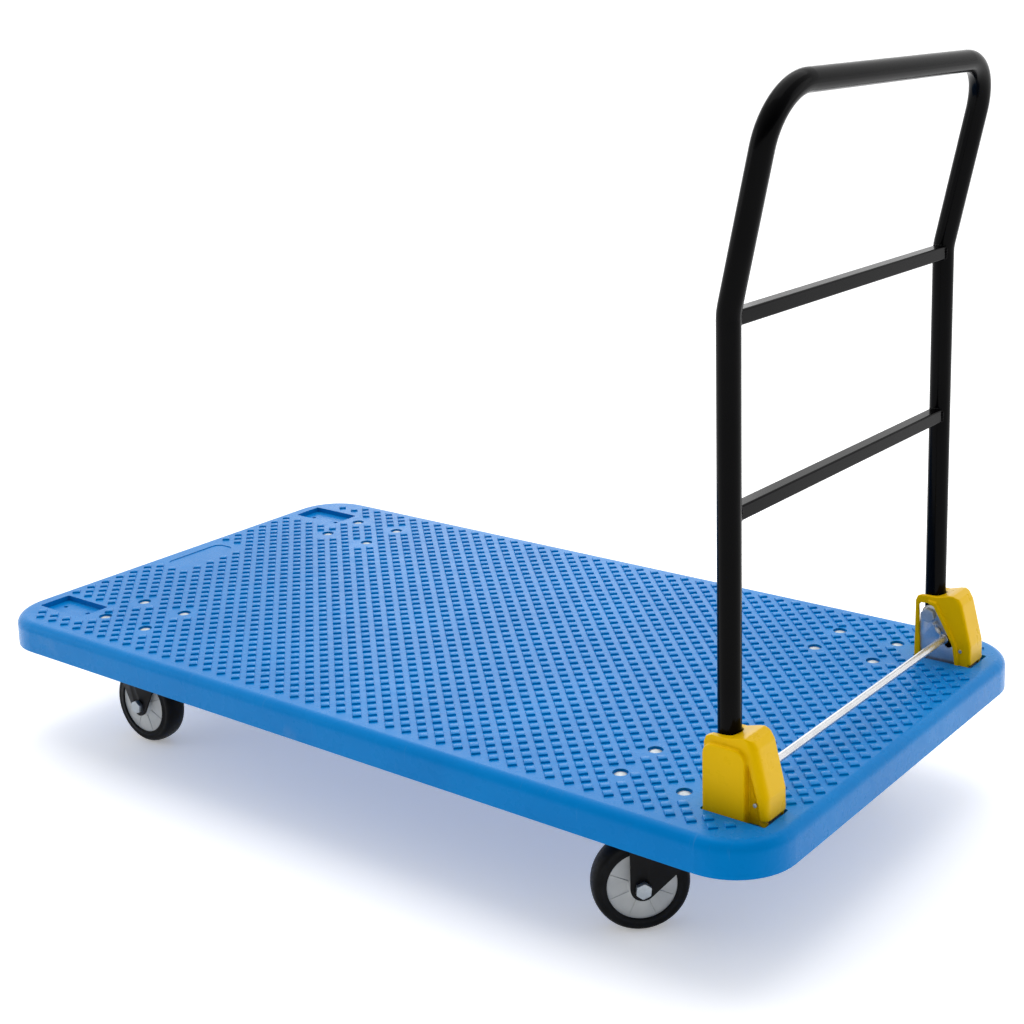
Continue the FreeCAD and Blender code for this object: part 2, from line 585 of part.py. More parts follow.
def hinge_cover():
    """Yellow moulded cover over one hinge, open below and where the post folds."""
    outer = side_prism(cover_outline(0.0), COVER_IN, COVER_OUT)
    round_edges = [e for e in outer.Edges
                   if e.BoundBox.ZMax > DECK_TOP + 25.0 and e.BoundBox.YLength < 0.01]
    outer = outer.makeFillet(3.0, [e for e in round_edges if e.BoundBox.ZMin > DECK_TOP + 20.0])
    panel = panel_box(0.0, COVER_OUT - 3.0, PANEL_OUT)
    shell = fuse([outer, panel])
    hollow = side_prism(cover_outline(COVER_T), COVER_IN + COVER_T, COVER_OUT - COVER_T)
    cuts = [hollow, panel_box(COVER_T, COVER_OUT - 6.0, PANEL_OUT - COVER_T)]
    under = box(505.0 + COVER_T, 581.0 - COVER_T, COVER_IN + COVER_T, COVER_OUT - COVER_T,
                DECK_TOP - 10.0, DECK_TOP - 6.0)
    cuts.append(under)
    window = [(516.0, DECK_TOP - 7.0), (510.5, DECK_TOP + 71.0), (529.0, DECK_TOP + 73.0),
              (549.5, DECK_TOP + 38.0), (556.5, DECK_TOP + 26.0), (561.0, DECK_TOP - 7.0)]
    cuts.append(side_prism(window, COVER_IN - 1, COVER_IN + COVER_T + 1))
    clear = TUBE_R + 1.2
    fold_floor = PIVOT_Z - TUBE_R - 5.0
    cuts.append(box(500.0, POST_X, POST_Y - clear, POST_Y + clear, fold_floor, DECK_TOP + 95))
    cuts.append(cyl(clear, Vector(POST_X, POST_Y, DECK_TOP + 60), Vector(POST_X, POST_Y, DECK_TOP + 95)))
    groove = [(559.0, DECK_TOP - 7.0), (559.0, DECK_TOP + 64.0), (576.0, DECK_TOP - 7.0)]
    cuts.append(side_prism(groove, COVER_OUT - 1.0, COVER_OUT + 1.0))
    cuts.append(along_y(COVER_SCREW_X, COVER_SCREW_Z, COVER_IN - 1, PANEL_OUT, COVER_SCREW_R + 0.25))
    return shell.cut(cuts)


def release_spring():
    """Tension spring from the bracket's anchor pin to the release rod."""
    rod = Vector(ROD_X, 0, ROD_Z)
    line = (rod - ANCHOR).normalize()
    top_r, low_r = ANCHOR_R + 0.2 + WIRE_R, ROD_R + 0.2 + WIRE_R
    start = ANCHOR + line * top_r
    end = rod - line * low_r
    length = (end - start).Length
    pitch = length / COILS
    helix = Part.makeHelix(pitch, length, COIL_R)
    climb = Vector(0, 1, pitch / (2 * math.pi * COIL_R))
    section = Part.Wire(Part.makeCircle(WIRE_R, Vector(COIL_R, 0, 0), climb))
    coil = Part.Wire(helix).makePipeShell([section], True, True)
    coil.Placement = FreeCAD.Placement(start + Vector(0, SPRING_Y, 0), Rotation(Z_AXIS, line))
    eyes = [Part.makeTorus(top_r, WIRE_R, ANCHOR + Vector(0, SPRING_Y, 0), Y_AXIS),
            Part.makeTorus(low_r, WIRE_R, rod + Vector(0, SPRING_Y, 0), Y_AXIS)]
    return coil, eyes


def pivot_bolt():
    """Hinge bolt, its hexagon head in the cover's window."""
    y0, y1 = CHEEK_IN - BRACKET_T, CHEEK_OUT + BRACKET_T
    head = hexagon(PIVOT_FLATS, Vector(POST_X, y0 - PIVOT_HEAD_H, PIVOT_Z), Vector(POST_X, y0, PIVOT_Z))
    shank = along_y(POST_X, PIVOT_Z, y0 - 1.0, y1 + 7.5, PIVOT_R)
    return head.fuse(shank).removeSplitter()


def pivot_nut():
    """Thin lock nut on the outside of the bracket."""
    y1 = CHEEK_OUT + BRACKET_T
    low, high = Vector(POST_X, y1, PIVOT_Z), Vector(POST_X, y1 + PIVOT_HEAD_H, PIVOT_Z)
    return hexagon(PIVOT_FLATS, low, high).cut(cyl(PIVOT_R + 0.05, low, high))


def pivot_washers():
    """Nylon washers between the post and the cheeks."""
    return [ring(11.0, PIVOT_R + 0.2, Vector(POST_X, y, PIVOT_Z), Vector(POST_X, y + 1.0, PIVOT_Z))
            for y in (CHEEK_IN, CHEEK_OUT - 1.0)]


def pivot_bush():
    """Bush through the foot of a post."""
    half = CHEEK_GAP - 1.1
    return ring(BUSH_R - 0.02, PIVOT_R + FIT, Vector(POST_X, POST_Y - half, PIVOT_Z),
                Vector(POST_X, POST_Y + half, PIVOT_Z))


def rod_stop():
    """Black rubber block under the rod, on the bracket's base."""
    return side_prism([(535.5, BASE_TOP), (552.5, BASE_TOP), (550.0, DECK_TOP + 13.0),
                       (540.0, DECK_TOP + 13.0)], CHEEK_IN + 0.5, CHEEK_OUT - 0.5)


def bracket_bolt(x, y):
    """Bolt down through a bracket base and the seat's floor."""
    shank = cyl(POCKET_BOLT_R, Vector(x, y, POCKET_FLOOR - SKIN_T - 8.0), Vector(x, y, BASE_TOP + 1.0))
    return shank.fuse(domed_head(*BRACKET_HEAD, x, y, BASE_TOP)).removeSplitter()


def bracket_nut(x, y):
    """Flanged nut under the seat's floor."""
    top = Vector(x, y, POCKET_FLOOR - SKIN_T)
    flats, height = BRACKET_NUT
    low = top - Z_AXIS * height
    return hexagon(flats, low, top).cut(cyl(POCKET_BOLT_R + 0.05, low, top))


def cover_screws():
    """The two tapping screws that hold a cover to the bracket's cheeks."""
    screws = []
    head_r, head_h = COVER_SCREW_HEAD
    for face, out, tip in ((COVER_IN, -1, CHEEK_IN - 0.5), (COVER_OUT, 1, CHEEK_OUT + 0.5)):
        y0, y1 = sorted((face, tip))
        shank = along_y(COVER_SCREW_X, COVER_SCREW_Z, y0, y1, COVER_SCREW_R)
        h0, h1 = sorted((face, face + out * head_h))
        screws.append(fuse([shank, along_y(COVER_SCREW_X, COVER_SCREW_Z, h0, h1, head_r)]))
    return screws


def with_mirror(shapes):
    """Right-hand solids with their left-hand mirror images."""
    return Part.makeCompound(list(shapes) + [mirror(s) for s in shapes])


save_pair("hinge_bracket", hinge_bracket())
save_pair("hinge_cover", hinge_cover())
save_pair("pivot_bolt", pivot_bolt())
save_pair("pivot_nut", pivot_nut())
save_pair("pivot_bush", pivot_bush())
save_pair("rod_stop", rod_stop())
save("pivot_washers", with_mirror(pivot_washers()))
save("cover_screws", with_mirror(cover_screws()))
seated = [(x, y) for x, y in POCKET_BOLTS if x > 0]
save("bracket_bolts", Part.makeCompound([bracket_bolt(x, y) for x, y in seated]))
save("bracket_nuts", Part.makeCompound([bracket_nut(x, y) for x, y in seated]))

spring_coil, spring_eyes = release_spring()
save_pair("release_spring", fuse([spring_coil] + spring_eyes))

# ---------------------------------------------------------------- foot release
save("release_rod", along_y(ROD_X, ROD_Z, -ROD_HALF, ROD_HALF, ROD_R))
clip_y = CHEEK_OUT + BRACKET_T + 0.5
clips = ring(7.5, ROD_R + 0.02, Vector(ROD_X, clip_y, ROD_Z), Vector(ROD_X, clip_y + 1.2, ROD_Z))
save("rod_clips", with_mirror([clips]))
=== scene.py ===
import json
import logging
import math
from collections.abc import Callable, Iterable, Iterator, Sequence
from contextlib import contextmanager
from dataclasses import dataclass
from enum import Enum

import bmesh
import bpy
import numpy as np
from mathutils import Matrix, Vector


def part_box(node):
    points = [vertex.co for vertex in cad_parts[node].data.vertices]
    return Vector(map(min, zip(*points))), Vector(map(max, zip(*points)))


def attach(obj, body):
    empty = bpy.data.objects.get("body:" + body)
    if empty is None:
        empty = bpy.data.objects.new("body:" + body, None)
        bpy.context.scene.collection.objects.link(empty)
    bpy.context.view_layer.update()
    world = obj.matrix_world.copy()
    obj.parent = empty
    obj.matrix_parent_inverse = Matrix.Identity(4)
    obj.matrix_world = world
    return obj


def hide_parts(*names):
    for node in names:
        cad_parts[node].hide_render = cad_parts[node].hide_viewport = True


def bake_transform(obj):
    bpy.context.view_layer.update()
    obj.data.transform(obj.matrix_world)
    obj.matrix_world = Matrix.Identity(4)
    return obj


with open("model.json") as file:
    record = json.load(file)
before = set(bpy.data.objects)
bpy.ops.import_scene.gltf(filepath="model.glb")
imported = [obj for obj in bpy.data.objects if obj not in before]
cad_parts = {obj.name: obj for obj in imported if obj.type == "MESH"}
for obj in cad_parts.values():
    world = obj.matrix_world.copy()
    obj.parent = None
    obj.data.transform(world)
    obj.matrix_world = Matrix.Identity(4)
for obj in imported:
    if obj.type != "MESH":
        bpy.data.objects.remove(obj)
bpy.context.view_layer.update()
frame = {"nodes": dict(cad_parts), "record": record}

# Looks of a folding platform cart, in metres, round its CAD frame.
# +X points to the handle end, -Y is the cart's left side, +Z is up, and the floor is at Z 0.

MM = 0.001
POST_X, POST_Y = 524.0 * MM, 245.0 * MM     # middle of the right post, seen from above
LOG = logging.getLogger("cart")
Piece = bpy.types.Object
Socket = bpy.types.NodeSocket
Colour = tuple[float, float, float]
Point = tuple[float, float, float]
Outline = Sequence[tuple[float, float]]


class Side(Enum):
    """Left or right of the cart."""

    LEFT = "left"
    RIGHT = "right"

    @property
    def sign(self) -> int:
        """-1 on the left, where Y is negative, and 1 on the right."""
        return -1 if self is Side.LEFT else 1


class End(Enum):
    """The end of the cart that a caster is at."""

    FRONT = "front"
    REAR = "rear"


class Kind(Enum):
    """What a finish is made of."""

    PLASTIC = "plastic"
    PAINT = "paint"
    METAL = "metal"
    RUBBER = "rubber"


class Join(Enum):
    """How a tool acts on a piece."""

    ADD = "UNION"
    CUT = "DIFFERENCE"
    COMMON = "INTERSECT"


# ---------------------------------------------------------------- finishes
METAL_SHARE = 0.8       # the rest of a zinc finish is its dull grey
SPANGLES = 420.0        # crystal patches of a zinc coat along a metre
SCUFF_SIZE = 0.05       # length of a scuff in metres


class NodeBoard:
    """Short ways to add and wire the nodes of one material or world."""

    def __init__(self, tree: bpy.types.NodeTree) -> None:
        """Start on an empty node tree."""
        self.tree = tree
        tree.nodes.clear()

    def add(self, kind: str, **inputs: object) -> bpy.types.Node:
        """Add a node and set or wire its inputs.

        Args:
            kind: Blender's name of the node type.
            inputs: Values or output sockets, by input name with spaces as underscores.

        Returns:
            The new node.
        """
        node = self.tree.nodes.new(kind)
        for key, value in inputs.items():
            socket = node.inputs[key.replace("_", " ")]
            if isinstance(value, Socket):
                self.tree.links.new(value, socket)
            else:
                socket.default_value = value
        return node

    def stretch(self, source: Socket, scale: Point) -> Socket:
        """Scale coordinates unevenly, so that a pattern runs along one axis."""
        return self.add("ShaderNodeMapping", Vector=source, Scale=scale).outputs["Vector"]

    def noise(self, source: Socket, size: float, detail: float = 3.0) -> Socket:
        """Noise from 0 to 1 whose blobs are about size metres across."""
        node = self.add("ShaderNodeTexNoise", Vector=source, Scale=1.0 / size, Detail=detail)
        return node.outputs["Fac"]

    def spread(self, source: Socket, low: float, high: float,
               to_low: float, to_high: float) -> Socket:
        """Map one range of a value onto another, held at both ends.

        Args:
            source: Value to map.
            low: Lower end of its range.
            high: Upper end of its range.
            to_low: What the lower end becomes.
            to_high: What the upper end becomes.

        Returns:
            The mapped value.
        """
        node = self.add("ShaderNodeMapRange", Value=source)
        for key, value in (("From Min", low), ("From Max", high), ("To Min", to_low), ("To Max", to_high)):
            node.inputs[key].default_value = value
        return node.outputs["Result"]

    def mix(self, amount: Socket, first: object, second: object) -> Socket:
        """Blend two colours by a value.

        Args:
            amount: 0 for the first colour, 1 for the second.
            first: Colour or socket.
            second: Colour or socket.

        Returns:
            The colour socket of the blend.
        """
        node = self.tree.nodes.new("ShaderNodeMix")
        node.data_type = "RGBA"
        self.tree.links.new(amount, node.inputs[0])
        for socket, value in ((node.inputs[6], first), (node.inputs[7], second)):
            if isinstance(value, Socket):
                self.tree.links.new(value, socket)
            else:
                socket.default_value = (*value, 1.0)
        return node.outputs[2]

    def add_up(self, first: Socket, second: Socket) -> Socket:
        """Sum two values.

        Args:
            first: One value.
            second: The other value.

        Returns:
            Their sum.
        """
        node = self.tree.nodes.new("ShaderNodeMath")
        self.tree.links.new(first, node.inputs[0])
        self.tree.links.new(second, node.inputs[1])
        return node.outputs[0]


@dataclass(frozen=True)
class Finish:
    """One procedural finish, laid out on each piece's Object coordinates.

    Args:
        name: Material slot of the record.
        kind: What it is made of.
        colour: Main colour, linear.
        second: Colour that the mottling drifts to.
        roughness: Middle roughness.
        swing: How far the roughness drifts each way.
        specular: Specular level of a finish that isn't metal.
        tint: Colour of the reflection seen square on.
        mottle: Size of the colour drift in metres.
        grain: Size of the fine surface texture in metres.
        relief: Height of the fine texture in metres.
        scuffs: Strength of fine pale scuffs, 0 for none.
    """

    name: str
    kind: Kind
    colour: Colour
    second: Colour
    roughness: float
    swing: float = 0.06
    specular: float = 0.5
    tint: Colour = (1.0, 1.0, 1.0)
    mottle: float = 0.12
    grain: float = 0.0009
    relief: float = 0.00002
    scuffs: float = 0.0

    def build(self) -> bpy.types.Material:
        """Make the material.

        Returns:
            A node material named after the finish.
        """
        material = bpy.data.materials.new(self.name)
        material.use_nodes = True
        board = NodeBoard(material.node_tree)
        place = board.add("ShaderNodeTexCoord").outputs["Object"]
        shader = board.add("ShaderNodeBsdfPrincipled")
        metal = self.kind is Kind.METAL
        shader.inputs["Metallic"].default_value = METAL_SHARE if metal else 0.0
        shader.inputs["Specular IOR Level"].default_value = self.specular
        shader.inputs["Specular Tint"].default_value = (*self.tint, 1.0)
        drift = board.spread(board.noise(place, self.mottle), 0.35, 0.65, 0.0, 1.0)
        colour = board.mix(drift, self.colour, self.second)
        if metal:
            colour = self._spangle(board, place, colour)
        if self.scuffs > 0.0:
            colour = self._scuff(board, place, colour)
        speckle = board.spread(board.noise(place, self.mottle / 6.0), 0.3, 0.7, -self.swing, self.swing)
        level = board.add("ShaderNodeValue")
        level.outputs[0].default_value = self.roughness
        rough = board.add_up(level.outputs[0], speckle)
        height = board.noise(place, self.grain, 2.0)
        bump = board.add("ShaderNodeBump", Height=height, Distance=self.relief, Strength=1.0)
        output = board.add("ShaderNodeOutputMaterial")
        for source, socket in ((colour, shader.inputs["Base Color"]), (rough, shader.inputs["Roughness"]),
                               (bump.outputs["Normal"], shader.inputs["Normal"]),
                               (shader.outputs["BSDF"], output.inputs["Surface"])):
            material.node_tree.links.new(source, socket)
        return material

    def _spangle(self, board: NodeBoard, place: Socket, colour: Socket) -> Socket:
        """Faint crystal patches of a zinc coat, as a darker tint here and there.

        Args:
            board: Nodes of the material.
            place: Object coordinates.
            colour: Colour so far.

        Returns:
            The colour with its patches.
        """
        cells = board.add("ShaderNodeTexVoronoi", Vector=place, Scale=SPANGLES)
        tone = board.spread(cells.outputs["Distance"], 0.0, 0.9, 0.0, 0.35)
        return board.mix(tone, colour, tuple(0.7 * c for c in self.second))

    def _scuff(self, board: NodeBoard, place: Socket, colour: Socket) -> Socket:
        """Fine pale scuffs, as a load leaves, in two directions.

        Args:
            board: Nodes of the material.
            place: Object coordinates.
            colour: Colour so far.

        Returns:
            The colour with its scuffs.
        """
        for scale in ((1.0, 14.0, 1.0), (11.0, 1.5, 1.0)):
            lines = board.noise(board.stretch(place, scale), SCUFF_SIZE, 5.0)
            mark = board.spread(lines, 0.66, 0.74, 0.0, self.scuffs)
            colour = board.mix(mark, colour, tuple(0.5 * c + 0.35 for c in self.second))
        return colour


FINISHES = (
    Finish("deck_blue", Kind.PLASTIC, (0.0, 0.165, 0.48), (0.0, 0.185, 0.52), 0.28, 0.05,
           specular=0.2, tint=(0.0, 0.35, 0.9), scuffs=0.05, grain=0.0016, relief=0.00004),
    Finish("cover_yellow", Kind.PLASTIC, (0.70, 0.42, 0.0), (0.74, 0.45, 0.0), 0.30, 0.04,
           specular=0.36, tint=(1.0, 0.8, 0.02), grain=0.0011),
    Finish("handle_black", Kind.PAINT, (0.0008, 0.0008, 0.001), (0.002, 0.002, 0.0023), 0.18, 0.04,
           specular=0.05, grain=0.0022),
    Finish("caster_black", Kind.PAINT, (0.002, 0.002, 0.0025), (0.004, 0.004, 0.004), 0.36, 0.08,
           specular=0.12, mottle=0.03, grain=0.0012, relief=0.00003),
    Finish("tyre_rubber", Kind.RUBBER, (0.002, 0.0024, 0.003), (0.005, 0.0055, 0.006), 0.45, 0.1,
           specular=0.1, mottle=0.02, grain=0.0007, relief=0.00004),
    Finish("wheel_grey", Kind.PLASTIC, (0.46, 0.475, 0.47), (0.53, 0.545, 0.54), 0.45, 0.06,
           specular=0.3, mottle=0.025, grain=0.0008),
    Finish("stop_rubber", Kind.RUBBER, (0.004, 0.004, 0.004), (0.008, 0.008, 0.008), 0.6, 0.08,
           specular=0.15, mottle=0.02),
    Finish("bush_nylon", Kind.PLASTIC, (0.72, 0.70, 0.64), (0.66, 0.64, 0.58), 0.45, mottle=0.01),
    Finish("zinc_plate", Kind.METAL, (0.66, 0.69, 0.73), (0.55, 0.58, 0.62), 0.34, 0.06,
           mottle=0.02, relief=0.000004),
    Finish("rod_zinc", Kind.METAL, (0.74, 0.75, 0.77), (0.62, 0.63, 0.65), 0.26, 0.05,
           mottle=0.03, relief=0.000004),
    Finish("spring_steel", Kind.METAL, (0.70, 0.71, 0.73), (0.58, 0.59, 0.61), 0.36,
           mottle=0.01, relief=0.000004),
    Finish("zinc_fastener", Kind.METAL, (0.50, 0.54, 0.57), (0.40, 0.44, 0.47), 0.46, 0.06,
           mottle=0.012, relief=0.000004),
)


class FinishBook:
    """Every finish as a material, by slot name."""

    def __init__(self, finishes: Iterable[Finish]) -> None:
        """Build all the materials once."""
        self.materials = {finish.name: finish.build() for finish in finishes}

    def dress(self, piece: Piece, slot: str) -> None:
        """Give a piece one finish all over."""
        piece.data.materials.clear()
        piece.data.materials.append(self.materials[slot])

    def dress_frame(self, nodes: dict[str, Piece], record: dict) -> None:
        """Give every CAD node the finish of its slot in the record."""
        for part in record["subparts"]:
            self.dress(nodes[part["node"]], part["material_slot"])


# ---------------------------------------------------------------- workbench
SAME_PLACE = 1e-6       # corners closer than this are one corner


def deselect() -> None:
    """Leave edit mode and select nothing."""
    if bpy.context.object is not None and bpy.context.object.mode != "OBJECT":
        bpy.ops.object.mode_set(mode="OBJECT")
    bpy.ops.object.select_all(action="DESELECT")


def activate(piece: Piece) -> None:
    """Select one piece.

    Args:
        piece: What becomes the only selected and active object.
    """
    deselect()
    piece.select_set(True)
    bpy.context.view_layer.objects.active = piece


@contextmanager
def editing(piece: Piece, kind: str = "VERT") -> Iterator[None]:
    """Open a piece in edit mode, all selected, and close it afterwards.

    Args:
        piece: Piece to edit.
        kind: What is selected, VERT, EDGE or FACE.
    """
    activate(piece)
    bpy.ops.object.mode_set(mode="EDIT")
    bpy.ops.mesh.select_mode(type=kind)
    bpy.ops.mesh.select_all(action="SELECT")
    yield
    bpy.ops.object.mode_set(mode="OBJECT")


def settle(piece: Piece) -> Piece:
    """Move the object's place, turn and size into its mesh.

    Args:
        piece: A piece just added.

    Returns:
        The same piece.
    """
    activate(piece)
    bpy.ops.object.transform_apply(location=True, rotation=True, scale=True)
    return piece


def block(low: Point, high: Point) -> Piece:
    """A cube primitive between two corners.

    Args:
        low: Lowest corner in metres.
        high: Highest corner.

    Returns:
        The new object, its place in its mesh.
    """
    deselect()
    centre = [(a + b) / 2 for a, b in zip(low, high)]
    size = [b - a for a, b in zip(low, high)]
    bpy.ops.mesh.primitive_cube_add(size=1.0, location=centre, scale=size)
    return settle(bpy.context.object)


def drum(radius: float, start: Point, end: Point, sides: int = 48) -> Piece:
    """A cylinder primitive between two points.

    Args:
        radius: Its radius in metres.
        start: Centre of one end.
        end: Centre of the other end.
        sides: Number of flats round it.

    Returns:
        The new object, its place in its mesh.
    """
    deselect()
    axis = Vector(end) - Vector(start)
    bpy.ops.mesh.primitive_cylinder_add(
        vertices=sides, radius=radius, depth=axis.length,
        location=(Vector(start) + Vector(end)) / 2,
        rotation=axis.to_track_quat("Z", "Y").to_euler())
    return settle(bpy.context.object)


def slab(outline: Outline, y0: float, y1: float) -> Piece:
    """A disc primitive pulled to an outline in the XZ plane and extruded along Y.

    Args:
        outline: (x, z) points in order.
        y0: Y of the first face.
        y1: Y of the second face.

    Returns:
        A closed solid.
    """
    deselect()
    bpy.ops.mesh.primitive_circle_add(vertices=len(outline), radius=1.0, fill_type="NGON")
    piece = bpy.context.object
    for vertex, (x, z) in zip(piece.data.vertices, outline):
        vertex.co = (x, y0, z)
    with editing(piece):
        bpy.ops.mesh.extrude_region_move(TRANSFORM_OT_translate={"value": (0.0, y1 - y0, 0.0)})
        bpy.ops.mesh.select_all(action="SELECT")
        bpy.ops.mesh.normals_make_consistent(inside=False)
    return piece


def turned(profile: Outline, steps: int) -> Piece:
    """A closed profile spun round the Y axis through the origin.

    Args:
        profile: (radius, y) points in order round the section.
        steps: Number of steps in the full turn.

    Returns:
        A closed ring.
    """
    deselect()
    bpy.ops.mesh.primitive_circle_add(vertices=len(profile), radius=1.0, fill_type="NOTHING")
    piece = bpy.context.object
    for vertex, (r, y) in zip(piece.data.vertices, profile):
        vertex.co = (r, y, 0.0)
    with editing(piece):
        bpy.ops.mesh.spin(steps=steps, angle=2 * math.pi, center=(0, 0, 0), axis=(0, 1, 0))
        bpy.ops.mesh.select_all(action="SELECT")
        bpy.ops.mesh.remove_doubles(threshold=SAME_PLACE)
        bpy.ops.mesh.normals_make_consistent(inside=False)
    return piece


def apply_modifiers(piece: Piece) -> None:
    """Apply every modifier in order.

    Args:
        piece: Piece with modifiers.
    """
    activate(piece)
    for name in [modifier.name for modifier in piece.modifiers]:
        bpy.ops.object.modifier_apply(modifier=name)


def soften(piece: Piece, width: float, segments: int = 2, angle: float = 35.0) -> Piece:
    """Round the edges that are sharper than an angle.

    Args:
        piece: Object to round.
        width: Width of the rounding in metres.
        segments: Faces across each rounding.
        angle: Smallest edge angle in degrees.

    Returns:
        The same object.
    """
    bevel = piece.modifiers.new("round", "BEVEL")
    bevel.width = width
    bevel.segments = segments
    bevel.limit_method = "ANGLE"
    bevel.angle_limit = math.radians(angle)
    bevel.use_clamp_overlap = True
    apply_modifiers(piece)
    return piece


def round_edges(piece: Piece, chosen: Callable[[Vector, Vector], bool],
                offset: float, segments: int) -> Piece:
    """Bevel the edges that a test picks by their two ends.

    Args:
        piece: Object to round.
        chosen: Says of an edge's two end points whether to round it.
        offset: Width of the bevel in metres.
        segments: Faces across the bevel.

    Returns:
        The same object.
    """
    with editing(piece, "EDGE"):
        bpy.ops.mesh.select_all(action="DESELECT")
        mesh = bmesh.from_edit_mesh(piece.data)
        for edge in mesh.edges:
            edge.select = chosen(edge.verts[0].co, edge.verts[1].co)
        bmesh.update_edit_mesh(piece.data)
        bpy.ops.mesh.bevel(offset=offset, segments=segments)
    return piece


def combine(piece: Piece, tool: Piece, how: Join) -> Piece:
    """Join, cut or intersect a piece with a tool.

    Args:
        piece: Object that is kept.
        tool: Object that is used up.
        how: What the tool does.

    Returns:
        The piece.
    """
    boolean = piece.modifiers.new("combine", "BOOLEAN")
    boolean.operation = how.value
    boolean.solver = "EXACT"
    boolean.object = tool
    apply_modifiers(piece)
    bpy.data.objects.remove(tool)
    return piece


def move(piece: Piece, matrix: Matrix) -> Piece:
    """Carry a piece's mesh by a matrix, its faces kept outwards if it mirrors.

    Args:
        piece: Piece to carry.
        matrix: Where to.

    Returns:
        The same piece.
    """
    piece.data.transform(matrix)
    if matrix.determinant() < 0:
        piece.data.flip_normals()
    piece.data.update()
    return piece


def twin(piece: Piece) -> Piece:
    """Copy a piece.

    Args:
        piece: Piece to copy.

    Returns:
        A copy with its own mesh.
    """
    other = piece.copy()
    other.data = piece.data.copy()
    bpy.context.scene.collection.objects.link(other)
    return other


def merge(pieces: Sequence[Piece]) -> Piece:
    """Put several objects into one mesh.

    Args:
        pieces: Objects to join, which are used up.

    Returns:
        The one object.
    """
    activate(pieces[0])
    for other in pieces[1:]:
        other.select_set(True)
    bpy.ops.object.join()
    return bpy.context.object


def wire(points: Sequence[Point], radius: float, sides: int, swell: Sequence[float] = ()) -> Piece:
    """A round wire along a line of points, closed into a ring if its thickness is given.

    Args:
        points: Places along its middle.
        radius: Its radius in metres.
        sides: Blender's resolution of its section.
        swell: Thickness at each point of a ring, as a share of the radius.

    Returns:
        The wire as a mesh.
    """
    deselect()
    curve = bpy.data.curves.new("wire", "CURVE")
    curve.dimensions = "3D"
    curve.bevel_depth = radius
    curve.bevel_resolution = sides
    curve.use_fill_caps = not swell
    spline = curve.splines.new("POLY")
    spline.points.add(len(points) - 1)
    spline.use_cyclic_u = bool(swell)
    for target, place in zip(spline.points, points):
        target.co = (*place, 1.0)
    for target, share in zip(spline.points, swell):
        target.radius = share
    piece = bpy.data.objects.new("wire", curve)
    bpy.context.scene.collection.objects.link(piece)
    activate(piece)
    bpy.ops.object.convert(target="MESH")
    return bpy.context.object


def node_copy(name: str) -> Piece:
    """Copy a CAD node, its loose triangles merged into clean faces.

    Args:
        name: The node.

    Returns:
        A piece of its own at the node's place.
    """
    piece = twin(frame["nodes"][name])
    piece.parent = None
    for key in list(piece.keys()):
        del piece[key]
    with editing(piece):
        bpy.ops.mesh.remove_doubles(threshold=SAME_PLACE)
        bpy.ops.mesh.dissolve_limited(angle_limit=math.radians(0.5))
    if "custom_normal" in piece.data.attributes:
        piece.data.attributes.remove(piece.data.attributes["custom_normal"])
    return piece


@dataclass
class Shop:
    """Finishes pieces and hands them to the frame.

    Args:
        book: The materials.
    """

    book: FinishBook

    def deliver(self, piece: Piece, name: str, slot: str, body: str,
                replaces: Sequence[str] = (), sharp: float = 40.0) -> Piece:
        """Name, shade, dress and fix a piece to a body.

        Args:
            piece: Finished object.
            name: Its name.
            slot: Finish and material slot.
            body: CAD body that it moves with.
            replaces: CAD nodes that it stands for.
            sharp: Edges above this many degrees stay sharp in shading.

        Returns:
            The piece.
        """
        piece.name = piece.data.name = name
        self.shade(piece, slot, sharp)
        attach(piece, body)
        if replaces:
            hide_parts(*replaces)
        LOG.info("%s: %d faces on %s", name, len(piece.data.polygons), body)
        return piece

    def deliver_node(self, node: str, prefix: str, rounding: float, slot: str, body: str) -> None:
        """Hand over a CAD node with the rounded edges of pressed sheet.

        Args:
            node: The node that is copied and replaced.
            prefix: What the piece's name adds before the node's.
            rounding: Width of the rounding in metres.
            slot: Finish and material slot.
            body: CAD body that it moves with.
        """
        self.deliver(soften(node_copy(node), rounding, 2), prefix + node, slot, body, [node])

    def shade(self, piece: Piece, slot: str, sharp: float) -> None:
        """Smooth a piece's shading and give it its finish.

        Args:
            piece: Finished object.
            slot: Finish.
            sharp: Edges above this many degrees stay sharp.
        """
        activate(piece)
        bpy.ops.object.shade_smooth_by_angle(angle=math.radians(sharp))
        self.book.dress(piece, slot)
        deselect()


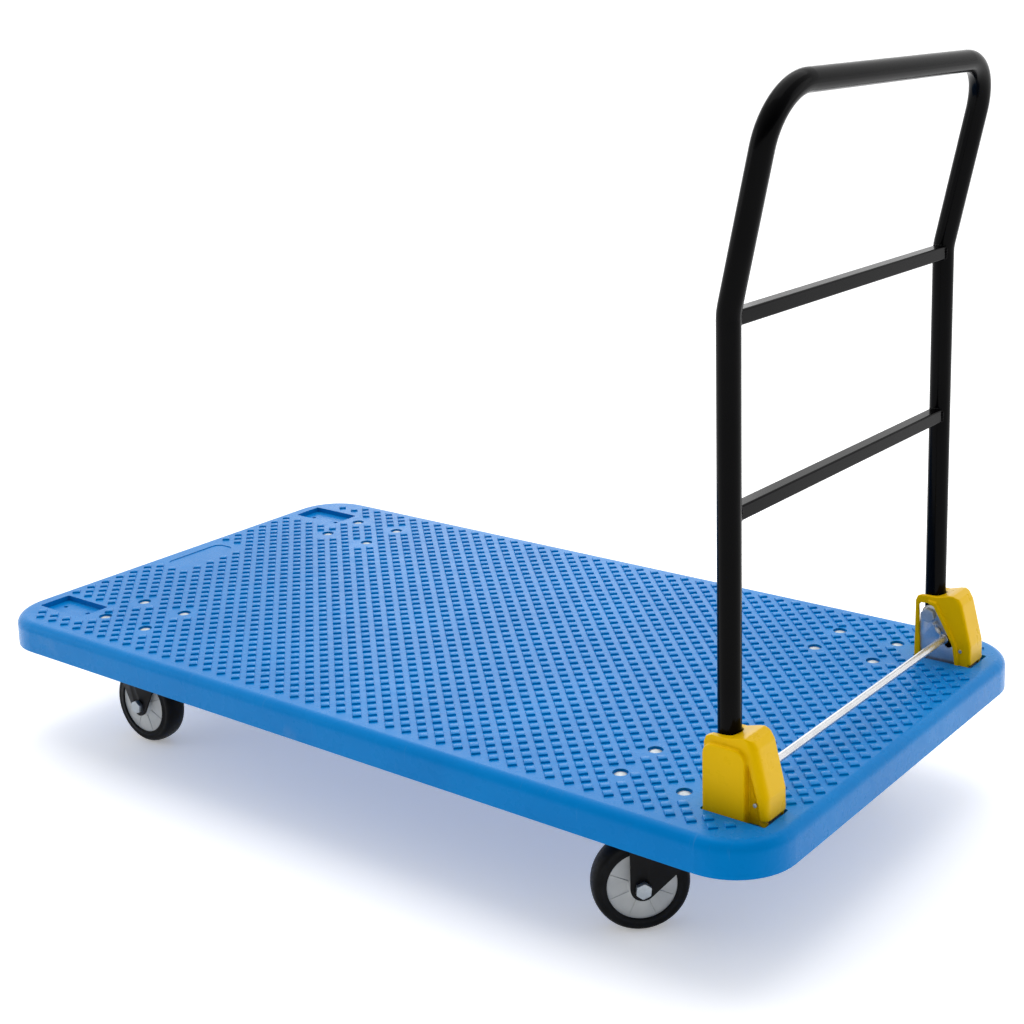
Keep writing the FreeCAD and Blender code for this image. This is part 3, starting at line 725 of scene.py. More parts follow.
# ---------------------------------------------------------------- deck
@dataclass
class GripDeck:
    """The raised grip pads moulded on the platform.

    Args:
        pitch: Diagonal half-step of the staggered lattice.
        foot: Width of a pad at its foot.
        crown: Width of a pad at its top.
        height: Height of a pad.
        sink: Depth of its foot in the platform.
        rounding: Rounding of its upper edges.
        field_x: Half length of the padded field.
        field_y: Half width of the padded field.
        corner: Rounding of the field's corners.
        border: Least distance from a pad's middle to the field's edge.
        start: Place of one pad from the deck's middle.
        recess: Radius round a caster bolt that stays plain.
        head_depth: How far under the top a bolt head may lie.
        margin: Plain strip round each seat.
        seat_reach: How far a seat reaches past its cover, inwards and outwards.
        label_x: Both ends of the label seat.
        label_y: Half width of the label seat.
    """

    pitch: float = 12.89 * MM
    foot: float = 11.0 * MM
    crown: float = 10.0 * MM
    height: float = 2.2 * MM
    sink: float = 0.3 * MM
    rounding: float = 0.8 * MM
    field_x: float = 597.0 * MM
    field_y: float = 313.0 * MM
    corner: float = 64.0 * MM
    border: float = 2.0 * MM
    start: tuple[float, float] = (-69.5 * MM, -80.4 * MM)
    recess: float = 15.0 * MM
    head_depth: float = 1.5 * MM
    margin: float = 3.0 * MM
    seat_reach: tuple[float, float] = (5.0 * MM, 2.0 * MM)
    label_x: tuple[float, float] = (-578.0 * MM, -542.0 * MM)
    label_y: float = 52.0 * MM

    def build(self, shop: Shop) -> None:
        """Model one pad, repeat it over the field and trim the field.

        Args:
            shop: Takes the finished pieces.
        """
        self.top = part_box("deck")[1].z
        pads = merge([self.lattice(shift) for shift in (0.0, self.pitch)])
        self.trim(pads)
        shop.deliver(pads, "grip_pads", "deck_blue", "cart", sharp=25.0)

    def pad(self, x: float, y: float) -> Piece:
        """One pad: a cube drawn in towards its top, stood cornerwise, its upper edges rounded.

        Args:
            x: Its place along the deck.
            y: Its place across the deck.

        Returns:
            The pad.
        """
        half = self.foot / 2
        piece = block((-half, -half, self.top - self.sink), (half, half, self.top + self.height))
        for vertex in piece.data.vertices:
            if vertex.co.z > self.top:
                vertex.co.x *= self.crown / self.foot
                vertex.co.y *= self.crown / self.foot
        round_edges(piece, lambda a, b: min(a.z, b.z) > self.top, self.rounding, 2)
        return move(piece, Matrix.Translation((x, y, 0)) @ Matrix.Rotation(math.radians(45), 4, "Z"))

    def lattice(self, shift: float) -> Piece:
        """One of the two square lattices of pads that make the staggered field.

        Args:
            shift: How far it is moved along and across the deck.

        Returns:
            All its pads in one mesh.
        """
        step = 2 * self.pitch
        spans = []
        for start, reach in zip(self.start, (self.field_x, self.field_y)):
            first = start + shift - step * math.floor((reach + start + shift + self.foot / 2) / step)
            spans.append((first, math.floor((reach + self.foot / 2 - first) / step) + 1))
        piece = self.pad(spans[0][0], spans[1][0])
        self.block_size = len(piece.data.vertices)
        for axis, (_, count) in enumerate(spans):
            row = piece.modifiers.new("row", "ARRAY")
            row.count = count
            row.use_relative_offset = False
            row.use_constant_offset = True
            row.constant_offset_displace = [step if i == axis else 0.0 for i in range(3)]
        apply_modifiers(piece)
        return piece

    def keeps(self, x: float, y: float) -> bool:
        """Say whether the field has a pad at a place.

        Args:
            x: Place along the deck.
            y: Place across the deck.

        Returns:
            True where a pad stays.
        """
        reach = self.foot / math.sqrt(2)
        inner_x, inner_y = self.field_x - self.corner, self.field_y - self.corner
        over_x, over_y = abs(x) - inner_x, abs(y) - inner_y
        if max(abs(x) - self.field_x, abs(y) - self.field_y) > -self.border:
            return False
        if over_x > 0 and over_y > 0 and math.hypot(over_x, over_y) > self.corner - reach:
            return False
        for low, high in self.plain_areas:
            if low[0] - reach < x < high[0] + reach and low[1] - reach < y < high[1] + reach:
                return False
        return all(math.hypot(x - cx, y - cy) > self.recess for cx, cy in self.bolts)

    def trim(self, pads: Piece) -> None:
        """Take away the pads over recesses and seats, and cut the rest at the field's edge.

        Args:
            pads: Both lattices in one mesh.
        """
        self.find_plain_areas()
        places = np.empty(len(pads.data.vertices) * 3)
        pads.data.vertices.foreach_get("co", places)
        middles = places.reshape(-1, self.block_size, 3).mean(axis=1)
        drop = np.array([not self.keeps(x, y) for x, y, _ in middles])
        with editing(pads):
            bpy.ops.mesh.select_all(action="DESELECT")
        pads.data.vertices.foreach_set("select", np.repeat(drop, self.block_size))
        bpy.ops.object.mode_set(mode="EDIT")
        bpy.ops.mesh.delete(type="VERT")
        for axis, reach in enumerate((self.field_x, self.field_y)):
            for sign in (-1, 1):
                normal = Vector([sign if i == axis else 0 for i in range(3)])
                bpy.ops.mesh.select_all(action="SELECT")
                bpy.ops.mesh.bisect(plane_co=normal * reach, plane_no=normal, use_fill=True, clear_outer=True)
        bpy.ops.object.mode_set(mode="OBJECT")

    def find_plain_areas(self) -> None:
        """Read the bolt recesses and bracket seats from the frame, and add the label seat from its given
        ends.
        """
        bolts = frame["nodes"]["caster_bolts"].data.vertices
        level = self.top - self.head_depth
        self.bolts = sorted({(round(v.co.x, 3), round(v.co.y, 3)) for v in bolts if v.co.z > level})
        inward, outward = self.seat_reach
        areas = []
        for side in Side:
            low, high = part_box("hinge_cover_" + side.value)
            x0, y0 = low.x - inward - self.margin, low.y - self.margin
            x1, y1 = high.x + outward + self.margin, high.y + self.margin
            areas += [((x0, y0), (x1, y1)), ((-x1, y0), (-x0, y1))]
        areas.append(((self.label_x[0] - self.margin, -self.label_y - self.margin),
                      (self.label_x[1] + self.margin, self.label_y + self.margin)))
        self.plain_areas = areas


# ---------------------------------------------------------------- hinge covers
@dataclass
class HingeCover:
    """The moulded cover over one handle hinge, modelled on the right and mirrored for the left.

    Heights are from the deck's top, and Y is from the cart's middle.

    Args:
        inner: Y of the inner face.
        outer: Y of the body's outer face.
        panel: Y of the raised panel's face.
        panel_x: Front and rear of the panel.
        panel_z: Foot and top of the panel.
        panel_sink: How deep its block stands in the body.
        panel_corner: Rounding of its two top corners.
        wall: Wall thickness.
        lip: Thickness of the inner face, seen round its window.
        lip_out: How far the raised lip stands out from the inner face.
        form: Side outline of the body in mm, and which way a wall's inset moves each point.
        lip_form: Outline of the raised lip in mm.
        window: Outline of the window in mm.
        groove_form: Outline of the groove in mm.
        groove_depth: Depth of the groove in the outer face.
        groove_rake: How far the groove's floor draws in at the rear and at the top.
        rear_gaps: X and Y ranges of the two cuts under the rear, in mm.
        rear_z: Lower and upper end of those cuts.
        rear_round: Rounding of the rear corners, outer and inner.
        hollow_back: How far the body's hollow stays off the outer wall.
        roof: Height of the hollow.
        post_r: Radius of the opening for the post.
        slot: Lower end of the slot that the post folds through.
        top: A height over all of the cover.
        over: How far a cutting tool reaches past the face that it cuts.
        voxel: Cell of the even mesh.
        relax: Passes that soften its edges.
        kept: Share of its faces that is kept.
    """

    inner: float = 226.0 * MM
    outer: float = 267.0 * MM
    panel: float = 272.0 * MM
    panel_x: tuple[float, float] = (507.0 * MM, 557.0 * MM)
    panel_z: tuple[float, float] = (-6.2 * MM, 74.0 * MM)
    panel_sink: float = 6.0 * MM
    panel_corner: float = 12.0 * MM
    wall: float = 2.4 * MM
    lip: float = 4.0 * MM
    lip_out: float = 2.6 * MM
    form: Sequence[tuple[float, float, int, int]] = (
        (505.2, -6.2, 1, 0), (580.8, -6.2, -1, 0), (580.3, 26.0, -1, 0), (567.5, 77.0, -1, 0),
        (563.0, 84.0, -1, -1), (555.0, 87.0, -1, -1), (550.0, 86.4, 0, -1), (534.0, 81.8, 0, -1),
        (514.0, 81.8, 1, -1), (508.5, 79.3, 1, -1), (506.0, 73.0, 1, -1))
    lip_form: Outline = ((524.0, 76.5), (534.5, 75.0), (555.3, 38.5), (562.3, 24.0), (566.5, -6.0),
                         (561.5, -6.0), (557.0, 23.0), (550.0, 37.0), (531.0, 70.0), (524.0, 72.3))
    window: Outline = ((514.0, -10.0), (510.5, 68.0), (513.0, 71.0), (526.0, 72.0), (531.0, 69.5),
                       (549.5, 37.0), (556.5, 23.0), (561.0, -10.0))
    groove_form: Outline = ((557.2, 68.0), (557.2, -8.0), (580.0, -8.0))
    groove_depth: float = 4.6 * MM
    groove_rake: tuple[float, float] = (9.0 * MM, 14.0 * MM)
    rear_gaps: Sequence[Outline] = (((557.6, 585.0), (264.0, 274.0)), ((577.5, 585.0), (220.0, 274.0)))
    rear_z: tuple[float, float] = (-9.0 * MM, 1.8 * MM)
    rear_round: tuple[float, float] = (8.0 * MM, 3.0 * MM)
    hollow_back: float = 7.0 * MM
    roof: float = 76.0 * MM
    post_r: float = 13.9 * MM
    slot: float = 39.3 * MM
    top: float = 95.0 * MM
    over: float = 1.0 * MM
    voxel: float = 0.75 * MM
    relax: int = 8
    kept: float = 0.35

    def build(self, shop: Shop) -> None:
        """Model the right cover, mirror it, and hand both over.

        Args:
            shop: Takes the finished pieces.
        """
        self.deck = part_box("deck")[1].z
        right = self.shell()
        left = move(twin(right), Matrix.Scale(-1, 4, (0, 1, 0)))
        for piece, side in ((right, Side.RIGHT), (left, Side.LEFT)):
            name = "hinge_cover_" + side.value
            shop.deliver(piece, "shell_" + side.value, "cover_yellow", "cart", [name], sharp=60.0)

    def raise_up(self, outline: Outline) -> list[tuple[float, float]]:
        """An outline in mm over the deck's top, as metres over the floor."""
        return [(x * MM, self.deck + z * MM) for x, z in outline]

    def outline(self, inset: float) -> list[tuple[float, float]]:
        """Side outline of the body, drawn in by some mm: level round the post, a hood behind it."""
        return self.raise_up([(x + side * inset, z + rise * inset) for x, z, side, rise in self.form])

    def body(self) -> Piece:
        """The outer form: body, panel, groove, lip and rounded edges.

        Returns:
            The form, not hollow yet.
        """
        body = slab(self.outline(0.0), self.inner, self.outer)
        middle = (self.inner + self.outer) / 2
        outer_round, inner_round = self.rear_round
        round_edges(body, lambda a, b: self.is_rear_edge(a, b) and a.y > middle, outer_round, 5)
        round_edges(body, lambda a, b: self.is_rear_edge(a, b) and a.y < middle, inner_round, 3)
        combine(body, self.panel_block(0.0), Join.ADD)
        combine(body, self.groove(), Join.CUT)
        lip = slab(self.raise_up(self.lip_form), self.inner - self.lip_out, self.inner + self.over)
        combine(body, lip, Join.ADD)
        low, high = (self.deck + z for z in self.rear_z)
        for (x0, x1), (y0, y1) in self.rear_gaps:
            combine(body, block((x0 * MM, y0 * MM, low), (x1 * MM, y1 * MM, high)), Join.CUT)
        return body

    def is_rear_edge(self, a: Vector, b: Vector) -> bool:
        """Say whether an edge belongs to one of the body's two upright corners at the rear.

        Args:
            a: One end of the edge.
            b: The other end.

        Returns:
            True for such an edge.
        """
        along = abs(a.y - b.y) < MM
        rear = min(a.x, b.x) > 562 * MM
        return along and rear and max(a.z, b.z) > self.deck

    def panel_block(self, inset: float) -> Piece:
        """The raised panel on the outer face, its two top corners rounded.

        Args:
            inset: How far it is drawn in, for its hollow.

        Returns:
            The panel.
        """
        foot, top = (self.deck + z for z in self.panel_z)
        panel = block((self.panel_x[0] + inset, self.outer - self.panel_sink, foot),
                      (self.panel_x[1] - inset, self.panel - inset, top - inset))
        level = self.deck + 10 * MM
        return round_edges(panel, lambda a, b: min(a.z, b.z) > level and abs(a.y - b.y) > MM,
                           self.panel_corner - inset, 8)

    def groove(self) -> Piece:
        """Wedge that sinks a three-cornered hollow between the panel and the rear edge.

        Returns:
            The wedge.
        """
        floor = self.outer - self.groove_depth
        wedge = slab(self.raise_up(self.groove_form), self.outer + 2 * self.over, floor)
        for vertex in wedge.data.vertices:
            if vertex.co.y < self.outer:
                if vertex.co.x > 560 * MM:
                    vertex.co.x -= self.groove_rake[0]
                elif vertex.co.z > self.deck:
                    vertex.co.z -= self.groove_rake[1]
        return wedge

    def hollow(self) -> Piece:
        """The space inside the body, open below.

        Returns:
            The space as a solid.
        """
        back = self.outer - self.wall - self.hollow_back
        hollow = slab(self.outline(self.wall / MM), self.inner + self.lip, back)
        for vertex in hollow.data.vertices:
            if vertex.co.z < self.deck:
                vertex.co.z -= 5 * MM
            vertex.co.z = min(vertex.co.z, self.deck + self.roof)
        return hollow

    def shell(self) -> Piece:
        """Hollow the body, open it for the window, the fold and the post, and round it all.

        Returns:
            The right cover.
        """
        shell = self.body()
        window = slab(self.raise_up(self.window), self.inner - self.over, self.inner + self.lip + self.over)
        top = self.deck + self.top
        slot = block((500 * MM, POST_Y - self.post_r, self.deck + self.slot),
                     (POST_X, POST_Y + self.post_r, top))
        hole = drum(self.post_r, (POST_X, POST_Y, self.deck + 60 * MM), (POST_X, POST_Y, top))
        for tool in (self.hollow(), self.panel_block(self.wall), window, slot, hole):
            combine(shell, tool, Join.CUT)
        self.round_off(shell)
        return shell

    def round_off(self, shell: Piece) -> None:
        """Turn the hard form into an even mesh and relax it, as a moulding's soft edges.

        Args:
            shell: The hard form.
        """
        remesh = shell.modifiers.new("even", "REMESH")
        remesh.mode = "VOXEL"
        remesh.voxel_size = self.voxel
        relax = shell.modifiers.new("relax", "SMOOTH")
        relax.factor = 0.5
        relax.iterations = self.relax
        thin = shell.modifiers.new("thin", "DECIMATE")
        thin.ratio = self.kept
        apply_modifiers(shell)


# ---------------------------------------------------------------- fasteners
@dataclass
class HexHead:
    """A hexagon head or nut with turned chamfers, along +Z from the origin.

    Args:
        flats: Width across flats.
        height: Height of the head.
        chamfer: Turned chamfer at its corners, as a share of its radius.
    """

    flats: float
    height: float
    chamfer: float = 0.12

    def build(self, both: bool = False) -> Piece:
        """Model the head.

        Args:
            both: Chamfer the lower face too, as on a nut.

        Returns:
            The head as one solid.
        """
        radius = self.flats / math.sqrt(3)
        head = drum(radius, (0, 0, 0), (0, 0, self.height), 6)
        limit = drum(radius, (0, 0, 0 if both else -self.height), (0, 0, self.height), 64)
        soften(limit, radius * self.chamfer, 3)
        combine(head, limit, Join.COMMON)
        return soften(head, 0.12 * MM, 1, 25.0)

    @staticmethod
    def place(piece: Piece, base: Point, axis: Point, turn: float) -> Piece:
        """Carry a piece from +Z at the origin to a place of its own.

        Args:
            piece: Piece to carry.
            base: Where its origin goes.
            axis: Where its +Z points.
            turn: How far it is turned about that axis, in degrees.

        Returns:
            The same piece.
        """
        spin = Matrix.Rotation(math.radians(turn), 4, "Z")
        aim = Vector(axis).normalized().to_track_quat("Z", "Y").to_matrix().to_4x4()
        return move(piece, Matrix.Translation(base) @ aim @ spin)


# ---------------------------------------------------------------- casters
@dataclass
class CasterWheel:
    """Tyre, ribbed centre and axle ends of one wheel.

    Args:
        tread: Half section of the tyre as radius and half width in mm, from its seat outwards.
        crest: Radius at the middle of the tread in mm.
        disc: Half section of the wheel centre, from its bore outwards.
        ribs: Ribs on each face of the centre.
        rib_x: Inner and outer end of a rib in mm.
        rib_y: Foot and crest of a rib in mm.
        rib_half: Half its width in mm.
        steps: Steps in a full turn.
    """

    tread: Outline = ((39.0, 15.0), (40.0, 15.9), (41.6, 16.0), (43.2, 15.6), (44.4, 15.0), (46.8, 14.9),
                      (48.4, 15.2), (50.4, 14.7), (52.1, 13.2), (53.4, 11.0), (54.3, 8.0), (54.75, 5.0),
                      (54.95, 2.5))
    crest: float = 55.0
    disc: Outline = ((7.6, 18.8), (12.6, 18.8), (14.2, 18.2), (15.0, 17.0), (15.8, 13.8), (17.2, 13.2),
                     (37.0, 12.8), (38.0, 13.0), (38.6, 13.8), (38.95, 13.9))
    ribs: int = 8
    rib_x: tuple[float, float] = (14.6, 37.6)
    rib_y: tuple[float, float] = (10.5, 13.4)
    rib_half: float = 1.3
    steps: int = 96

    def tyre(self) -> Piece:
        """Tyre with a stepped sidewall, a bead ring and a softly crowned tread."""
        section = [*self.tread, (self.crest, 0.0), *((r, -y) for r, y in reversed(self.tread))]
        return turned([(r * MM, y * MM) for r, y in section], self.steps)

    def centre(self) -> Piece:
        """Wheel centre: flat web with fine radial ribs, and boss."""
        section = [*self.disc, *((r, -y) for r, y in reversed(self.disc))]
        centre = turned([(r * MM, y * MM) for r, y in section], self.steps)
        return merge([centre] + self.rib_set())

    def rib_set(self) -> list[Piece]:
        """Radial ribs on both faces, each a tapered block with rounded edges.

        Returns:
            All the ribs.
        """
        low = (self.rib_x[0] * MM, self.rib_y[0] * MM, -self.rib_half * MM)
        rib = block(low, (self.rib_x[1] * MM, self.rib_y[1] * MM, self.rib_half * MM))
        for vertex in rib.data.vertices:
            if vertex.co.y > 12 * MM:
                vertex.co.z *= 0.25
                vertex.co.y += 0.9 * MM if vertex.co.x < 20 * MM else 0.0
        soften(rib, 0.15 * MM, 2)
        ribs = []
        for face in (0.0, math.pi):
            for i in range(self.ribs):
                turn = Matrix.Rotation(2 * math.pi * (i + 0.5) / self.ribs, 4, "Y")
                ribs.append(move(twin(rib), Matrix.Rotation(face, 4, "Z") @ turn))
        bpy.data.objects.remove(rib)
        return ribs


@dataclass
class CasterSet:
    """The four wheels with their bolts and nuts, and softened forks and plates.

    Args:
        flats: Width of a bolt head and nut across flats.
        head_h: Height of a bolt head.
        nut_h: Height of a nut with its collar.
        collar_r: Radius of the collar.
        bolt_r: Radius of the bolt's end.
        shank_r: Radius of the shank.
        face: Outer face of the fork's legs from the wheel's middle.
        fork_round: Rounding of a fork's edges.
        plate_round: Rounding of a plate's edges.
    """

    flats: float = 16.0 * MM
    head_h: float = 6.0 * MM
    nut_h: float = 8.0 * MM
    collar_r: float = 6.6 * MM
    bolt_r: float = 4.9 * MM
    shank_r: float = 4.95 * MM
    face: float = 22.5 * MM
    fork_round: float = 0.7 * MM
    plate_round: float = 0.5 * MM

    def build(self, shop: Shop) -> None:
        """Place a wheel at each CAD wheel and finish the steel round it.

        Args:
            shop: Takes the finished pieces.
        """
        wheel = CasterWheel()
        rounds = ((wheel.tyre(), "tyre", "tyre_rubber"), (wheel.centre(), "wheel_centre", "wheel_grey"))
        head = HexHead(self.flats, self.head_h).build()
        nut = self.nut()
        for end in End:
            for side in Side:
                tag = f"{end.value}_{{}}_{side.value}"
                pose = self.wheel_pose(tag)
                wheel_body = tag.format("wheel")
                fork_body = tag.format("caster") if end is End.REAR else "cart"
                for source, part, slot in rounds:
                    node = tag.format(part)
                    shop.deliver(move(twin(source), pose), "round_" + node, slot, wheel_body, [node], 35.0)
                self.axle(shop, tag, pose, fork_body, head, nut)
                fork = tag.format("fork")
                shop.deliver_node(fork, "pressed_", self.fork_round, "caster_black", fork_body)
                if end is End.REAR:
                    shop.deliver_node(tag.format("plate"), "pressed_", self.plate_round, "zinc_plate", "cart")
        for source in (head, nut, *(source for source, _, _ in rounds)):
            bpy.data.objects.remove(source)

    def wheel_pose(self, tag: str) -> Matrix:
        """Find a wheel's place and heading.

        Args:
            tag: Node name with a gap for the part.

        Returns:
            Matrix from a wheel about the Y axis to the CAD wheel.
        """
        centre = sum(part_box(tag.format("tyre")), Vector()) / 2
        bolt = frame["nodes"][tag.format("axle_bolt")].data.vertices
        spread = np.array([vertex.co.xy[:] for vertex in bolt])
        heading = np.linalg.svd(spread - spread.mean(axis=0))[2][0]
        angle = math.atan2(heading[1], heading[0])
        if math.sin(angle) < 0:
            angle += math.pi
        return Matrix.Translation(centre) @ Matrix.Rotation(angle - math.pi / 2, 4, "Z")

    def nut(self) -> Piece:
        """Lock nut: chamfered hexagon with a plain collar and the bolt's end in it.

        Returns:
            The nut, along +Z from the origin.
        """
        nut = HexHead(self.flats, self.nut_h - 2.0 * MM).build(both=True)
        collar = drum(self.collar_r, (0, 0, self.nut_h - 2.6 * MM), (0, 0, self.nut_h))
        soften(collar, 0.8 * MM, 3)
        tip = drum(self.bolt_r, (0, 0, 0), (0, 0, self.nut_h + 2.0 * MM), 32)
        soften(tip, 0.7 * MM, 2)
        return combine(combine(nut, collar, Join.ADD), tip, Join.ADD)

    def axle(self, shop: Shop, tag: str, pose: Matrix, body: str, head: Piece, nut: Piece) -> None:
        """Axle bolt and nut of one wheel: head on the -Y side, nut on the +Y side.

        Args:
            shop: Takes the finished pieces.
            tag: Node name with a gap for the part.
            pose: Place and heading of the wheel.
            body: CAD body of its fork.
            head: Bolt head to copy.
            nut: Nut to copy.
        """
        bolt = HexHead.place(twin(head), (0, -self.face, 0), (0, -1, 0), 54.0)
        shank = drum(self.shank_r, (0, -self.face - 0.5 * MM, 0), (0, self.face + 1.0 * MM, 0), 32)
        combine(bolt, shank, Join.ADD)
        placed = HexHead.place(twin(nut), (0, self.face, 0), (0, 1, 0), 10.0)
        for piece, part in ((bolt, "axle_bolt"), (placed, "axle_nut")):
            node = tag.format(part)
            shop.deliver(move(piece, pose), "hex_" + node, "zinc_fastener", body, [node])


# ---------------------------------------------------------------- handle
@dataclass
class HandleWelds:
    """Weld beads where the two crossbars meet the posts.

    Args:
        bead: Radius of a bead.
        bar: Half width of the square crossbar.
        tube: Radius of the post.
        points: Points round a bead.
        ripples: Lumps round a bead, fine and coarse.
        swell: Height of those lumps as a share of its radius.
    """

    bead: float = 1.7 * MM
    bar: float = 8.0 * MM
    tube: float = 12.7 * MM
    points: int = 64
    ripples: tuple[int, int] = (17, 5)
    swell: tuple[float, float] = (0.22, 0.1)

    def build(self, shop: Shop) -> None:
        """Lay a bead round each end of each crossbar.

        Args:
            shop: Takes the finished pieces.
        """
        for level in ("lower", "upper"):
            low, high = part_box("crossbar_" + level)
            centre = (low + high) / 2
            for side in Side:
                bead = self.bead_ring(centre.x, centre.z, side.sign)
                shop.deliver(bead, f"weld_{level}_{side.value}", "handle_black", "handle", sharp=60.0)

    def bead_ring(self, x: float, z: float, sign: int) -> Piece:
        """One bead: a lumpy ring that follows the square bar round the round post.

        Args:
            x: Middle of the crossbar.
            z: Its height.
            sign: 1 for the right post, -1 for the left one.

        Returns:
            The ring.
        """
        points, lumps = [], []
        for i in range(self.points):
            angle = 2 * math.pi * i / self.points
            c, s = math.cos(angle), math.sin(angle)
            reach = self.bar / (abs(c) ** 5 + abs(s) ** 5) ** 0.2
            u, v = reach * c, reach * s
            points.append((x + u, sign * (POST_Y - math.sqrt(self.tube ** 2 - u ** 2)), z + v))
            fine, coarse = math.sin(self.ripples[0] * angle), math.sin(self.ripples[1] * angle + x)
            lumps.append(1.0 + self.swell[0] * fine + self.swell[1] * coarse)
        return wire(points, self.bead, 3, lumps)


# ---------------------------------------------------------------- hinges and foot release
@dataclass
class HingeWork:
    """Brackets, hinge bolts, cover screws and springs of both hinges.

    Args:
        pivot_flats: Width of the hinge bolt's head across flats.
        head_h: Height of that head.
        shank_r: Radius of its shank.
        sheet_round: Rounding of the brackets' edges.
        wire: Radius of the spring's wire.
        coil: Radius of its coils.
        turns: Number of coils.
        per_turn: Points round a coil.
        pin_x: Place of the bracket's pin.
        pin_z: Height of the pin over the deck.
        spring_y: Middle of the spring, across the cart.
        eyes: Radius of the hook at the pin and of the one at the rod.
        neck: From a hook to the coils.
        screw_faces: Y of a cover's inner and outer face, and which way its screws look.
        screw_r: Radius of a screw's head.
        screw_h: Height of a screw's head.
        cross: Half length and half width of the recess in it.
    """

    pivot_flats: float = 16.0 * MM
    head_h: float = 6.0 * MM
    shank_r: float = 4.95 * MM
    sheet_round: float = 0.5 * MM
    wire: float = 0.65 * MM
    coil: float = 2.6 * MM
    turns: int = 9
    per_turn: int = 16
    pin_x: float = 531.5 * MM
    pin_z: float = 46.5 * MM
    spring_y: float = 224.9 * MM
    eyes: tuple[float, float] = (2.6 * MM, 5.35 * MM)
    neck: float = 0.8 * MM
    screw_faces: Sequence[tuple[float, int]] = ((226.0 * MM, -1), (267.0 * MM, 1))
    screw_r: float = 2.3 * MM
    screw_h: float = 1.0 * MM
    cross: tuple[float, float] = (1.4 * MM, 0.35 * MM)

    def build(self, shop: Shop) -> None:
        """Finish the parts of each hinge.

        Args:
            shop: Takes the finished pieces.
        """
        head = HexHead(self.pivot_flats, self.head_h).build()
        for side in Side:
            bracket = "hinge_bracket_" + side.value
            shop.deliver_node(bracket, "folded_", self.sheet_round, "zinc_plate", "cart")
            self.pivot(shop, side, head)
            self.spring(shop, side)
        bpy.data.objects.remove(head)
        self.screws(shop)

    def pivot(self, shop: Shop, side: Side, head: Piece) -> None:
        """Hinge bolt with its head towards the cart's middle.

        Args:
            shop: Takes the finished pieces.
            side: Which hinge.
            head: Bolt head to copy.
        """
        node = "pivot_bolt_" + side.value
        low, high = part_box(node)
        x, z = (low.x + high.x) / 2, (low.z + high.z) / 2
        near, far = sorted((low.y, high.y), key=abs)
        step = math.copysign(1.0, far)
        bolt = HexHead.place(twin(head), (x, near + step * self.head_h, z), (0, -step, 0), 12.0)
        shank = drum(self.shank_r, (x, near + step * (self.head_h - 0.5 * MM), z), (x, far, z), 32)
        shop.deliver(combine(bolt, shank, Join.ADD), "hex_" + node, "zinc_fastener", "cart", [node])

    def spring(self, shop: Shop, side: Side) -> None:
        """Tension spring between the bracket's pin and the rod: coils and two hooks in one wire.

        Args:
            shop: Takes the finished pieces.
            side: Which hinge.
        """
        low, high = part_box("release_rod")
        rod = Vector(((low.x + high.x) / 2, 0, (low.z + high.z) / 2))
        pin = Vector((self.pin_x, 0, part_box("deck")[1].z + self.pin_z))
        line = (rod - pin).normalized()
        across = Vector((line.z, 0, -line.x))
        y = Vector((0, side.sign * self.spring_y, 0))
        eye_pin, eye_rod = self.eyes
        start, end = pin + line * (eye_pin + self.neck), rod - line * (eye_rod + self.neck)
        points = self.eye(pin, -line, across, eye_pin)
        count = self.turns * self.per_turn
        for i in range(count + 1):
            angle = 2 * math.pi * i / self.per_turn
            swell = min(1.0, 3 * i / count, 3 * (count - i) / count)
            radial = (across * math.cos(angle) + Vector((0, 1, 0)) * math.sin(angle)) * self.coil * swell
            points.append(start.lerp(end, i / count) + radial)
        points += list(reversed(self.eye(rod, line, across, eye_rod)))
        piece = wire([place + y for place in points], self.wire, 2)
        piece.name = piece.data.name = "coil_spring_" + side.value
        shop.shade(piece, "spring_steel", 60.0)
        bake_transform(piece)
        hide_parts("release_spring_" + side.value)
        LOG.info("%s: %d faces", piece.name, len(piece.data.polygons))

    def eye(self, centre: Vector, outward: Vector, across: Vector, radius: float) -> list[Vector]:
        """Points round a hook, from its open end to where the coil leaves it.

        Args:
            centre: Middle of the pin or rod.
            outward: Direction away from the coils.
            across: Direction square to that.
            radius: Radius of the hook.

        Returns:
            The points in order.
        """
        turns = [math.radians(-160 + 340 * i / 20) for i in range(21)]
        return [centre + (outward * math.cos(angle) + across * math.sin(angle)) * radius for angle in turns]

    def screws(self, shop: Shop) -> None:
        """Pan-head screws with a cross recess that hold the covers.

        Args:
            shop: Takes the finished pieces.
        """
        low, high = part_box("cover_screws")
        x, z = (low.x + high.x) / 2, (low.z + high.z) / 2
        screws = [self.screw((x, side.sign * face, z), side.sign * out)
                  for face, out in self.screw_faces for side in Side]
        shop.deliver(merge(screws), "cross_cover_screws", "zinc_fastener", "cart", ["cover_screws"])

    def screw(self, place: Point, out: int) -> Piece:
        """One screw, its head standing out along Y.

        Args:
            place: Middle of its seat.
            out: 1 if it looks to +Y, -1 if it looks to -Y.

        Returns:
            The screw.
        """
        head = drum(self.screw_r, (0, 0, -0.3 * MM), (0, 0, self.screw_h), 32)
        soften(head, 0.6 * MM, 4, 60.0)
        long, wide = self.cross
        for turn in (0, 90):
            bar = block((-long, -wide, 0.4 * MM), (long, wide, 3.0 * MM))
            combine(head, move(bar, Matrix.Rotation(math.radians(turn), 4, "Z")), Join.CUT)
        combine(head, drum(1.7 * MM, (0, 0, -9.0 * MM), (0, 0, 0), 16), Join.ADD)
        return HexHead.place(head, place, (0, out, 0), 35.0)


